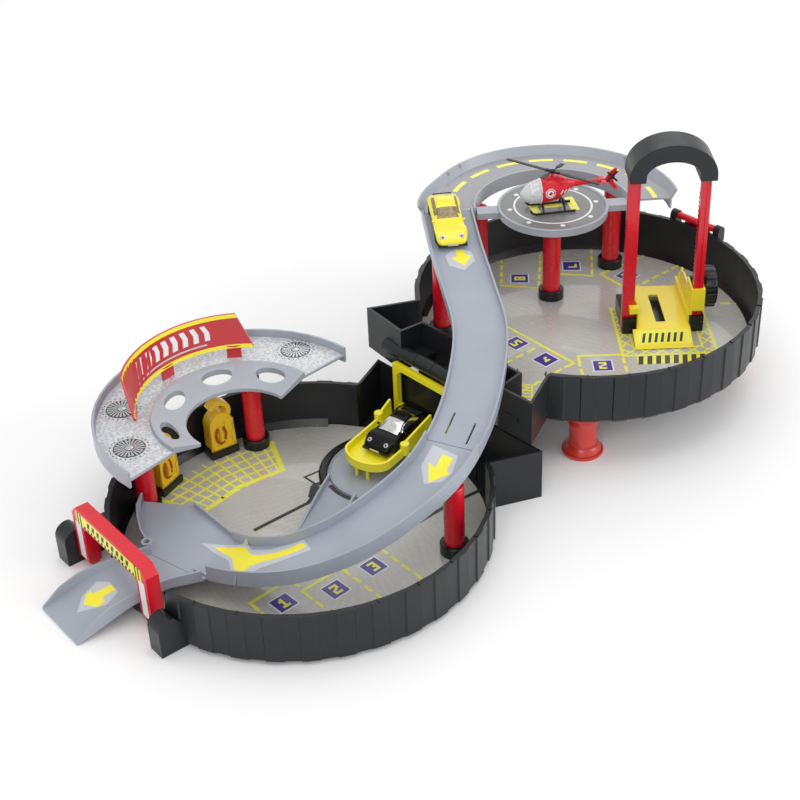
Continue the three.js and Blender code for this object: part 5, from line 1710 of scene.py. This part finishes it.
@dataclass
class Lift:
    """The hand-cranked lift: rails, cap, cabin, knob and the print round its foot."""

    packed: Packed
    press: Press
    place: Matrix = field(default_factory=partial(set_down, 311.6, -56.9, -41.3))
    card: float = 48.3
    knob_radius: float = 18.5
    knob_width: float = 11.0
    grips: int = 14
    rail_middle: float = 10.0
    rail_extra: float = 2.6
    right_rail: float = 68.5
    lips: Plan = (175.5, 194.6)
    slope_low: Spot = (0, 8.7, 49.4)
    slope_high: Spot = (0, 28.2, 56.9)

    def build(self) -> None:
        """Build the lift."""
        piece("lift_rail_left_moulding", self.wide_rail(), Look.RED, Body.BASE, ["lift_rail_left"], 0.6)
        self.packed.remould("lift_rail_right", Look.RED, 0.25)
        for side in ("left", "right"):
            self.packed.remould("lift_base_" + side, Look.SMOOTH_BLACK, 0.6)
        self.packed.remould("lift_cap", Look.CASE, 0.9)
        self.packed.remould("lift_cabin", Look.YELLOW, 0.3)
        self.packed.paint("lift_pinion", Look.SMOOTH_BLACK)
        self.build_knob()
        self.build_rail_lips()
        self.print_cabin()
        self.print_footing()

    def wide_rail(self) -> Mesh:
        """The left rail with its outer side moved out, as wide as it looks in the photograph.

        Returns:
            The rail's mesh.
        """
        mesh = self.packed.merged("lift_rail_left")
        inwards = self.place.inverted()
        for vert in mesh.vertices:
            spot = inwards @ (vert.co / MM)
            if spot.x < self.rail_middle:
                spot.x -= self.rail_extra
                vert.co = (self.place @ spot) * MM
        return mesh

    def build_knob(self) -> None:
        """The knob: a dished wheel with rounded grips, on its hub."""
        centre, axis = self.packed.joint("knob_turn")
        place = laid(centre, axis)
        r = self.knob_radius
        w = self.knob_width
        far = max(axis.dot(vert.co / MM - centre) for vert in self.packed.nodes["lift_knob"].data.vertices)
        near = far - w
        profile = [
            (r - 3.4, near), (r - 1.2, near + 0.6), (r - 0.8, near + 1.6), (r - 0.8, far - 2.2),
            (r - 2, far - 0.5), (r - 3.4, far), (r - 5.4, far - 0.2), (r - 6.4, far - 1.6),
            (5.2, far - 1.6), (4.4, far - 0.4), (0.4, far - 0.2),
        ]
        wheel = Solid().turn(profile, 56)
        wheel.turn([(2.0, near - 9.2), (2.0, near + 0.4)], 24)
        grip = Solid().turn([(1.0, 0.9), (1.9, 1.9), (1.9, w - 1.9), (1.0, w - 0.9)], 12)
        seat = place @ Matrix.Translation((0, 0, near))
        grips = ring_of("grips", grip, Look.SMOOTH_BLACK, self.grips, r - 1.9, 0, 360 / self.grips, seat)
        mesh = merge("lift_knob_wheel", [wheel.moved(place).mesh("wheel"), grips])
        piece("lift_knob_wheel", mesh, Look.SMOOTH_BLACK, Body.KNOB, ["lift_knob"])

    def build_rail_lips(self) -> None:
        """Slim lips down both edges of the rails' front faces, above the cabin's reach."""
        lips = Solid()
        for centre, wide in ((self.rail_middle - self.rail_extra / 2, 5.2), (self.right_rail, 3.9)):
            for side in (-1, 1):
                x = sorted_pair(centre + side * (wide - 1.3), centre + side * wide)
                lips.box(x, (37.4, 38.2), self.lips)
        lips.moved(self.place)
        piece("rail_lips", lips.mesh("rail_lips"), Look.RED, Body.BASE, bevel=0.2)

    def slope_film(self, outline: Outline, lift: float) -> Solid:
        """A film on the cabin's sloping entry ramp.

        Args:
            outline: its outline, across and up the slope by share.
            lift: how far it stands out of the slope.

        Returns:
            The film.
        """
        low = Vector(self.slope_low)
        up = Vector(self.slope_high) - low
        normal = Vector((0, -up.z, up.y)).normalized()
        loops = []
        for out in (-0.15, lift):
            loops.append([tuple(Vector((x, 0, 0)) + low + up * s + normal * out) for x, s in outline])
        return Solid().loft(loops).moved(self.place)

    def print_cabin(self) -> None:
        """The label on the cabin's entry ramp: hazard stripes on yellow."""
        label = self.slope_film(rectangle((14, 60), (0.14, 0.94)), 0.14)
        show("ramp_label", label, Look.INK_YELLOW, Body.CABIN)
        stripes = Solid()
        for i in range(7):
            x = 18 + 5.4 * i
            stripes.join(self.slope_film([(x, 0.3), (x + 2.4, 0.3), (x + 4.8, 0.78), (x + 2.4, 0.78)], 0.2))
        show("ramp_stripes", stripes, Look.INK_DARK, Body.CABIN)

    def print_footing(self) -> None:
        """The printed truss, a dark patch of painted shade on the card under the lift, and the hazard stripes
        before it.
        """
        side, inner, cells = 81.0, 11.0, 6
        corners = [(0.0, side), (0.0, 0.0), (side, 0.0), (side, side)]
        lines = stroke(corners, 2.4)
        lines += stroke([(inner, side), (inner, inner), (side - inner, inner), (side - inner, side)], 1.8)
        pace = side / cells
        for k in range(cells):
            a, b = pace * k, pace * (k + 1)
            for start, end in (((a, 0), (b, inner)), ((b, 0), (a, inner))):
                lines += stroke([start, end], 1.5)
            if k:
                for x, across in ((0, inner), (side, side - inner)):
                    lines += stroke([(x, a), (across, b)], 1.5) + stroke([(x, b), (across, a)], 1.5)
        placed = [along(self.place, line) for line in lines]
        show("lift_truss_print", self.press.flat(placed, self.card), Look.INK_YELLOW)
        # Painted shade: a dark patch on the card under the cabin, standing in for the shadow seen through its
        # slot.
        shaft = along(self.place, rectangle((16, 62), (30, 100)))
        show("lift_shaft_print", self.press.flat([shaft], self.card), Look.INK_DARK)
        field_outline = along(self.place, rectangle((11, 71), (-14.5, -2)))
        show("lift_stripe_field", self.press.flat([field_outline], self.card), Look.INK_YELLOW)
        stripe = Solid().prism([(0, -14.5), (4.2, -14.5), (6.2, -2), (2.0, -2)], 0, 0.24)
        place = self.place @ Matrix.Translation((11, 0, self.card))
        mesh = row_of("lift_stripes", stripe, Look.INK_DARK, 8, (7.5, 0, 0), place)
        piece("lift_stripes", mesh, Look.INK_DARK)


# Turntable, lane and tipping platform


@dataclass
class Hoist:
    """The turntable, the launch lane and the tipping platform in its portal."""

    packed: Packed
    press: Press
    table: Plan = (94.0, 14.0)
    table_top: float = 6.2

    def build(self) -> None:
        """Build the turntable, lane, portal and platform."""
        self.packed.remould("turntable", Look.RAMP, 0.5)
        self.packed.remould("launch_lane", Look.RAMP, 0.3)
        self.packed.remould("hoist_frame", Look.BRIGHT, 0.7)
        self.packed.remould("hoist_platform", Look.BRIGHT, 0.4)
        self.packed.paint("hoist_pin", Look.STEEL)
        lane = self.packed.top_of("launch_lane", 12.0)
        groove = [band(self.table, 43.6, 47.6, 163, 199)]
        show("lane_groove", self.press.draped(groove, lane), Look.INK_DARK)
        section = [(41.6, -0.1), (43, -0.1), (43, 0.6), (42.3, 0.9), (41.6, 0.6)]
        loops = [[(*around(self.table, r, 5 * k), self.table_top + h) for r, h in section] for k in range(73)]
        show("turntable_rim", Solid().loft(loops, capped=False), Look.RAMP, Body.TURNTABLE)


# Toys


# Sections along a car: x, half width, waist, top, and the glass's half width at its base and at the roof
CAR_SECTIONS = (
    (-31.4, 9.0, 9.6, 10.6, 7.6, 6.8), (-30.8, 11.8, 10.8, 12.0, 9.6, 8.8),
    (-28.0, 13.2, 11.9, 12.9, 11.0, 9.8), (-25.2, 13.7, 12.2, 13.3, 11.3, 10.0),
    (-23.2, 13.9, 12.5, 13.6, 11.4, 10.0), (-19.0, 14.0, 12.8, 14.9, 11.4, 9.6),
    (-14.8, 13.9, 12.5, 16.8, 11.4, 9.2), (-12.8, 13.6, 12.2, 17.6, 11.3, 9.0),
    (-6.0, 13.3, 11.8, 18.4, 11.3, 8.9), (0.0, 13.3, 11.6, 18.4, 11.4, 8.8),
    (4.5, 13.4, 11.6, 17.4, 11.5, 8.8), (9.0, 13.6, 11.6, 14.8, 11.6, 9.4),
    (12.8, 13.8, 11.8, 12.9, 11.6, 10.2), (14.8, 13.9, 12.1, 12.7, 11.4, 10.0),
    (19.0, 14.0, 12.4, 12.5, 11.0, 9.0), (23.2, 13.8, 11.6, 11.9, 10.4, 8.4),
    (25.2, 13.5, 10.8, 11.3, 10.0, 8.0), (28.4, 12.6, 9.2, 9.9, 9.0, 7.0), (30.8, 10.6, 7.6, 8.2, 8.0, 6.0),
    (31.4, 8.4, 6.6, 7.2, 6.6, 5.0),
)


@dataclass
class ToyCar:
    """One small die-cast car: a smooth shell with glass, lamps, a chassis and wheels."""

    packed: Packed
    name: str
    parent: Body
    paint: Finish
    screen: Finish
    side_glass: Finish
    wheel: float = 5.2
    axle: float = 19.0
    reach: float = 31.4
    half: float = 14.0
    tread: float = 5.2
    arch: float = 6.2
    spoiler: bool = False
    cabin_back: float = 0.0

    def frame(self) -> Matrix:
        """The car's own frame from its two axle joints: x forwards, wheels on z = 0.

        Returns:
            The frame, as a matrix in millimetres.
        """
        rear, left = self.packed.joint(self.name + "_rear_roll")
        front, _ = self.packed.joint(self.name + "_front_roll")
        ahead = (front - rear).normalized()
        up = ahead.cross(left).normalized()
        left = up.cross(ahead)
        turn = Matrix((ahead, left, up)).transposed().to_4x4()
        return Matrix.Translation((rear + front) / 2 - up * self.wheel) @ turn

    def build(self) -> None:
        """Build the shell, trim and wheels."""
        place = self.frame()
        car = self.name + "_car"
        self.packed.paint(car + "_chassis", Look.CHASSIS)
        shell = self.shell().moved(place)
        finishes = [self.paint, self.screen, self.side_glass]
        piece(car + "_shell", shell.mesh(car), finishes, self.parent, [car + "_body"], rounds=2, smooth=60)
        self.build_trim(place)
        for end, x in (("rear", -self.axle), ("front", self.axle)):
            self.build_wheels(end, x, place)

    def shell(self) -> Solid:
        """The shell as a cage for subdivision: sections along the car, from sill to roof and back.

        Returns:
            The cage, with tone 1 on the screens and tone 2 on the side glass.
        """
        loops = []
        tops = [(self.set_back(x), *rest[2:]) for x, *rest in CAR_SECTIONS]
        for x, wide, waist, _, _, _ in CAR_SECTIONS:
            top, glass, roof = between(tops, x)
            top = max(top, waist + 0.3)
            sill = 4.0
            for axle in (-self.axle, self.axle):
                off = abs(x - axle)
                if off < self.arch:
                    sill = max(sill, self.wheel + math.sqrt(self.arch**2 - off**2) - 0.2)
            sill = min(sill, waist - 1.0)
            rise = waist - sill
            right = [
                (x, wide - 0.7, sill), (x, wide, sill + 0.35 * rise), (x, wide, sill + 0.75 * rise),
                (x, (wide + glass) / 2 + 0.3, waist), (x, glass, waist + min(0.4, top - waist)),
                (x, roof, top - min(0.7, (top - waist) * 0.3)), (x, roof * 0.55, top),
            ]
            loops.append([(a, -b, c) for a, b, c in right] + list(reversed(right)))
        made = Solid().loft(loops)
        count = len(loops[0])
        limits = (-16.5, 8.0, 2.0, 11.4, -22.0, -13.5)
        side_low, side_high, front_low, front_high, rear_low, rear_high = (self.set_back(x) for x in limits)
        for i, (near, far) in enumerate(zip(CAR_SECTIONS, CAR_SECTIONS[1:])):
            middle = (near[0] + far[0]) / 2
            for j in range(count):
                tone = 0
                if j in (4, count - 6) and side_low < middle < side_high:
                    tone = 2
                front = front_low < middle < front_high
                rear = rear_low < middle < rear_high and not self.spoiler
                if j in (5, 6, 7) and (front or rear):
                    tone = 1
                made.tones[i * count + j] = tone
        return made

    def set_back(self, x: float) -> float:
        """Where a place along the common cabin comes when the cabin sits further back."""
        return x - self.cabin_back * (1 - (x / self.reach) ** 2)

    def build_trim(self, place: Matrix) -> None:
        """Lamps, bumper line, mirrors and, on the yellow car, a rear wing.

        Args:
            place: the car's frame.
        """
        lamps = Solid()
        pupils = Solid()
        for side in (-1, 1):
            seat = Matrix.Translation((26.0, side * 8.2, 9.9)) @ Matrix.Rotation(math.radians(32), 4, "Y")
            lamps.join(Solid().turn([(2.3, 0), (2.3, 0.6), (1.9, 0.95), (0.2, 1.05)], 20).moved(seat))
            pupils.join(Solid().turn([(0.9, 0.5), (0.9, 1.2), (0.2, 1.25)], 16).moved(seat))
            lamps.join(Solid().box((-31.9, -31.2), sorted_pair(side * 4.6, side * 9.2), (7.8, 9.6)))
        lamps.box((31.1, 31.9), (-4.6, 4.6), (4.6, 6.4))
        mirrors = Solid()
        for side in (-1, 1):
            mirrors.box((6.2, 8.0), sorted_pair(side * 12.4, side * 14.6), (12.1, 13.5))
        skirt = Solid()
        for x, top in (((-31.2, -25.6), 4.6), ((25.6, 31.4), 5.6), ((-12.4, 12.4), 4.6)):
            skirt.box(x, (-12.6, 12.6), (3.2, top))
        if self.spoiler:
            skirt.box((-30.9, -29.2), (-8.4, 8.4), (12.2, 13.0))
        trim = (
            ("lamps", lamps, Look.TRIM_SILVER, 0.15),
            ("pupils", pupils, Look.CHASSIS, 0.1),
            ("mirrors", mirrors, self.paint, 0.35),
            ("skirt", skirt, Look.CHASSIS, 0.3),
        )
        for part, solid, finish, bevel in trim:
            mesh = solid.moved(place).mesh(part)
            piece(f"{self.name}_car_{part}", mesh, finish, self.parent, bevel=bevel)

    def build_wheels(self, end: str, x: float, place: Matrix) -> None:
        """One pair of wheels on its axle: tyres with round shoulders and five-spoked rims.

        Args:
            end: rear or front.
            x: the axle's place along the car.
            place: the car's frame.
        """
        node = f"{self.name}_car_{end}_wheels"
        made = Solid()
        for side in (-1, 1):
            out = side * (self.half - 0.6)
            inn = side * (self.half - 0.6 - self.tread)
            r = self.wheel
            tyre = [(r * 0.62, out), (r - 0.5, out), (r, out - side * 0.7), (r, inn + side * 0.7),
                    (r - 0.5, inn), (r * 0.4, inn)]
            rim = [(r * 0.62, out - side * 0.15), (r * 0.56, out - side * 0.7), (r * 0.2, out - side * 0.5),
                   (r * 0.14, out - side * 0.1), (0.15, out - side * 0.05)]
            lay = Matrix.Translation((x, 0, r)) @ Matrix.Rotation(math.radians(-90), 4, "X")
            made.join(Solid().turn(tyre, 32).moved(lay))
            made.join(Solid().turn(rim, 32, 1).moved(lay))
            for k in range(5):
                thick = sorted_pair(out - side * 0.75, out - side * 0.12)
                spoke = Solid().box((0.5, r * 0.6), (-0.35, 0.35), thick, 1)
                made.join(spoke.moved(lay @ set_down(0, 0, 72 * k)))
        shaft = Solid().turn([(1.2, self.tread - self.half), (1.2, self.half - self.tread)], 16)
        across = Matrix.Rotation(math.radians(90), 4, "X")
        made.join(shaft.moved(Matrix.Translation((x, 0, self.wheel)) @ across))
        mesh = made.moved(place).mesh(node)
        piece(node + "_pair", mesh, [Look.TYRE, Look.RIM], f"{self.name}_{end}_axle", [node])


def between(rows: Sequence[Sequence[float]], x: float) -> list[float]:
    """The values at a place between rows that each start with their own place.

    Args:
        rows: the rows, each with its place first.
        x: the place.

    Returns:
        The values there, without the place.
    """
    for near, far in zip(rows, rows[1:]):
        if x <= far[0]:
            share = max(0.0, (x - near[0]) / max(far[0] - near[0], 1e-6))
            return [n + (f - n) * share for n, f in zip(near[1:], far[1:])]
    return list(rows[-1][1:])


def sorted_pair(a: float, b: float) -> Plan:
    """Two limits in rising order."""
    return (a, b) if a < b else (b, a)


@dataclass
class Helicopter:
    """The toy helicopter: pod, clear bubble, boom, tail, skids and rotors."""

    packed: Packed
    place: Matrix = field(default_factory=partial(set_down, 338, 53, 147, 140.3))
    pod: tuple[tuple[float, ...], ...] = (
        (-20, 23.4, 2.2, 2.6), (-17, 22.6, 3.5, 4.4), (-10.5, 21.0, 6.4, 8.2),
        (-3, 19.6, 8.8, 10.6), (5, 19.0, 9.4, 11.2), (11, 18.8, 9.5, 11.2),
    )

    def oval(self, x: float, z: float, wide: float, tall: float, sides: int = 24) -> list[Spot]:
        """One oval section across the pod, by its place and middle, half width and half height."""
        angles = [FULL_TURN * k / sides for k in range(sides)]
        return [(x, wide * math.cos(angle), z + tall * math.sin(angle)) for angle in angles]

    def build(self) -> None:
        """Build the helicopter."""
        body = Solid().loft([self.oval(*s) for s in self.pod])
        boom = [(-16, 23.0, 2.7, 3.2), (-32, 22.6, 1.9, 2.2), (-54, 22.4, 1.2, 1.5)]
        body.loft([self.oval(*s, 16) for s in boom])
        fin = [(-50, 20.6), (-46.4, 22.4), (-51.4, 30), (-55.4, 33)]
        fin += [(-58, 33), (-54.8, 21.6), (-59, 13.4), (-56, 13)]
        body.loft([[(x, y, z) for x, z in fin] for y in (-0.8, 0.8)])
        body.box((-47, -43.2), (-7.4, 7.4), (22.6, 23.5))
        hump = [(-13, 27.2), (-8, 31.2), (2, 32.6), (6, 30.6), (5, 26.6), (-13, 25.2)]
        body.loft([[(x, y, z) for x, z in hump] for y in (-3.6, 3.6)])
        body.join(Solid().turn([(2.0, 30.6), (1.5, 32.6), (1.5, 34.7)], 20))
        mesh = body.moved(self.place).mesh("pod")
        piece("helicopter_pod", mesh, Look.RED, Body.BASE, ["helicopter_body"], 0.3)
        self.build_bubble()
        self.build_skids()
        self.build_rotors()
        trim = Solid()
        for side in (-1, 1):
            x, z = 3.5, 19.5
            for radius, line in ((4.2, 0.35), (2.4, 0.8)):
                ring = [self.on_flank(*around((x, z), radius, 20 * k), side, 0.3) for k in range(19)]
                trim.tube(ring, line, 8)
            for x in (-6, -9.4, -12.8):
                low = self.on_flank(x, 17.4, side, 0.1)
                trim.tube([low, self.on_flank(x - 2, 20.8, side, 0.1)], 0.6, 8)
        show("helicopter_trim", trim.moved(self.place), Look.INK_WHITE)

    def on_flank(self, x: float, z: float, side: int, out: float) -> Spot:
        """A place on the pod's flank at a length and height.

        Args:
            x: how far along the pod it is.
            z: its height.
            side: 1 for the left flank, -1 for the right one.
            out: how far out of the skin it is.

        Returns:
            The place, in the helicopter's frame.
        """
        knots = [*self.pod[:1], *self.pod[2:]]
        for near, far in zip(knots, knots[1:]):
            if x <= far[0] or far is knots[-1]:
                share = (x - near[0]) / (far[0] - near[0])
                _, middle, wide, tall = (n + (f - n) * share for n, f in zip(near, far))
                break
        rise = max(-0.95, min(0.95, (z - middle) / tall))
        return x, side * (wide * math.sqrt(1 - rise**2) + out), z

    def build_bubble(self) -> None:
        """The clear bubble over a pale cockpit, with its ribs."""
        stations = [
            (11, 18.8, 9.4, 11.1), (15, 18.4, 9.1, 10.6), (19.4, 17.8, 8.1, 9.4),
            (23.4, 17.0, 6.3, 7.2), (26.4, 16.3, 4.2, 4.6), (28.2, 15.9, 1.6, 1.8),
        ]
        clear = Solid().loft([self.oval(*s) for s in stations])
        mesh = clear.moved(self.place).mesh("bubble")
        piece("helicopter_bubble", mesh, Look.CLEAR, Body.BASE, ["helicopter_canopy"], smooth=60)
        seat = Solid().loft([self.oval(x, z - 2.4, w * 0.74, t * 0.5) for x, z, w, t in stations[:5]])
        seat.box((12.4, 15), (-5.6, 5.6), (12.5, 24))
        show("helicopter_cockpit", seat.moved(self.place), Look.COCKPIT)
        ribs = Solid()
        for x, z, wide, tall in (stations[0], stations[2]):
            loop = self.oval(x, z, wide + 0.05, tall + 0.05)
            ribs.tube([*loop, loop[0]], 0.5, 8)
        ribs.tube([(x, 0, z + tall + 0.05) for x, z, _, tall in stations], 0.45, 8)
        ribs.tube([(x, 0, z - tall - 0.05) for x, z, _, tall in stations], 0.45, 8)
        show("helicopter_ribs", ribs.moved(self.place), Look.INK_WHITE)

    def build_skids(self) -> None:
        """Two bent runners on bowed struts."""
        made = Solid()
        for side in (-1, 1):
            y = side * 9.5
            made.tube([(-19, y, 1.2), (16, y, 1.2), (18.4, y, 1.9), (20.2, y, 3.4), (21.2, y, 5.2)], 1.05)
        for x in (-9.5, 9.5):
            made.tube([(x, -9.5, 1.2), (x, -8.4, 4), (x, -5, 7.4), (x, -1, 8.8), (x, 1, 8.8), (x, 5, 7.4),
                       (x, 8.4, 4), (x, 9.5, 1.2)], 0.95)
        mesh = made.moved(self.place).mesh("skids")
        piece("helicopter_runners", mesh, Look.SMOOTH_BLACK, Body.BASE, ["helicopter_skids"])

    def build_rotors(self) -> None:
        """The main rotor with tapered blades on a clamped hub, and the small tail rotor."""
        turn = self.place @ set_down(0, 0, -46)
        made = Solid().turn([(1.1, 34.9), (2.5, 35.2), (2.6, 37.4), (1.4, 38.1), (0.2, 38.1)], 24)
        for side in (-1, 1):
            plan = [(3, -1.0), (8, -1.3), (12, -1.75), (46.4, -1.6), (46.9, -1.0)]
            plan += [(46.9, 0.9), (46.2, 1.5), (12, 1.75), (8, 1.3), (3, 1.0)]
            made.prism([(side * x, side * y) for x, y in plan], 35.7, 36.5)
            made.box(sorted_pair(side * 2, side * 7), (-1.5, 1.5), (35.3, 37.2))
        made.tube([(0, -10, 36.6), (0, 10, 36.6)], 0.6, 10)
        for side in (-1, 1):
            made.box((-2, 2), sorted_pair(side * 8, side * 17), (36.2, 37))
        mesh = made.moved(turn).mesh("rotor")
        piece("main_rotor_blades", mesh, Look.SMOOTH_BLACK, Body.MAIN_ROTOR, ["main_rotor"], 0.2)
        seat = laid(*self.packed.joint("tail_rotor_spin"))
        tail = Solid().turn([(1.4, -0.8), (1.4, 0.7), (0.3, 0.9)], 16)
        for degrees in (45, 135):
            blade = Solid().prism([(-6.3, -0.8), (6.3, -0.9), (6.5, 0.7), (-6.5, 0.9)], -0.2, 0.45)
            tail.join(blade.moved(set_down(0, 0, degrees)))
        mesh = tail.moved(seat).mesh("tail")
        piece("tail_rotor_blades", mesh, Look.SMOOTH_BLACK, Body.TAIL_ROTOR, ["tail_rotor"])


# Studio


@dataclass
class Studio:
    """The pale floor, soft lights and the camera at the photograph's angle.

    The camera has its place in millimetres, its bearing, dip and roll in degrees, and its focal length in
    pixels of an image so many pixels wide. The floor reaches so many metres each way.
    """

    eye: Spot = (-568.70, -768.91, 760.05)
    yaw: float = 48.749
    dip: float = 33.815
    roll: float = -2.396
    focal: float = 1546.12
    image: float = 800.0
    sensor: float = 36.0
    floor_reach: float = 6.0
    sky_strength: float = 0.74

    def build(self) -> None:
        """Build the studio."""
        self.place_camera()
        self.lay_floor()
        self.hang_lights()

    def place_camera(self) -> None:
        """The camera, turned by its bearing, dip and roll."""
        yaw, dip, roll = (math.radians(v) for v in (self.yaw, self.dip, self.roll))
        ahead = Vector((math.cos(dip) * math.cos(yaw), math.cos(dip) * math.sin(yaw), -math.sin(dip)))
        right = ahead.cross(Vector((0, 0, 1))).normalized()
        up = right.cross(ahead)
        tilted_right = math.cos(roll) * right + math.sin(roll) * up
        tilted_up = -math.sin(roll) * right + math.cos(roll) * up
        data = bpy.data.cameras.new("camera")
        data.sensor_width = self.sensor
        data.lens = self.focal / self.image * self.sensor
        data.clip_start = 0.05
        camera = bpy.data.objects.new("camera", data)
        turn = Matrix((tilted_right, tilted_up, -ahead)).transposed().to_4x4()
        camera.matrix_world = Matrix.Translation(Vector(self.eye) * MM) @ turn
        bpy.context.scene.collection.objects.link(camera)
        bpy.context.scene.camera = camera

    def lay_floor(self) -> None:
        """A wide pale floor."""
        mesh = bpy.data.meshes.new("floor")
        sides = (-self.floor_reach, self.floor_reach)
        mesh.from_pydata([(x, y, 0) for x, y in rectangle(sides, sides)], [], [(0, 1, 2, 3)])
        floor = bpy.data.objects.new("floor", mesh)
        bpy.context.scene.collection.objects.link(floor)
        pale = bpy.data.materials.new("floor_white")
        pale.use_nodes = True
        shader = pale.node_tree.nodes["Principled BSDF"]
        shader.inputs["Base Color"].default_value = (0.97, 0.97, 0.97, 1)
        shader.inputs["Roughness"].default_value = 0.7
        mesh.materials.append(pale)

    def hang_lights(self) -> None:
        """A bright even sky with large soft lamps above and to the front."""
        scene = bpy.context.scene
        scene.view_settings.view_transform = "Standard"
        world = bpy.data.worlds.new("sky")
        world.use_nodes = True
        sky = world.node_tree.nodes["Background"]
        sky.inputs["Color"].default_value = (1.0, 1.0, 1.0, 1)
        sky.inputs["Strength"].default_value = self.sky_strength
        scene.world = world
        lamps = [
            ("top", (0.1, 0.0, 4.0), (0.15, 0.05, 0), 3.2, 35.0),
            ("front_left", (-3.0, -2.2, 2.8), (0.1, 0, 0.05), 2.0, 30.0),
            ("front_right", (2.4, -3.4, 2.0), (0.2, 0, 0.05), 2.4, 50.0),
            ("back_right", (3.2, 2.6, 2.6), (0.2, 0, 0.05), 2.4, 12.0),
        ]
        for name, place, target, size, power in lamps:
            data = bpy.data.lights.new(name, "AREA")
            data.size = size
            data.energy = power
            lamp = bpy.data.objects.new(name, data)
            look = (Vector(target) - Vector(place)).to_track_quat("-Z", "Y")
            lamp.matrix_world = Matrix.Translation(place) @ look.to_matrix().to_4x4()
            scene.collection.objects.link(lamp)


def main() -> None:
    """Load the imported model, dress it and set the studio."""
    logging.basicConfig(level=logging.INFO, format="%(name)s: %(message)s")
    packed = Packed(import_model())
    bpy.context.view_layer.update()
    press = Press()
    CarryCase(packed, press).build()
    RingDeck(packed, press).build()
    WorkshopDeck(packed, press).build()
    Ramps(packed, press).build()
    Gate(packed, press).build()
    FuelPump(packed, "right", set_down(18, 131, -8)).build()
    FuelPump(packed, "left", set_down(-44.5, 124, 18)).build()
    Hoist(packed, press).build()
    Lift(packed, press).build()
    tan = Look.TAN_GLASS
    ToyCar(packed, "yellow", Body.BASE, Look.CAR_YELLOW, tan, tan, spoiler=True, cabin_back=10.0).build()
    ToyCar(packed, "black", Body.HOIST, Look.CAR_BLACK, Look.SILVER_GLASS, Look.OLIVE_GLASS).build()
    Helicopter(packed).build()
    Studio().build()


if __name__ == "__main__":
    main()
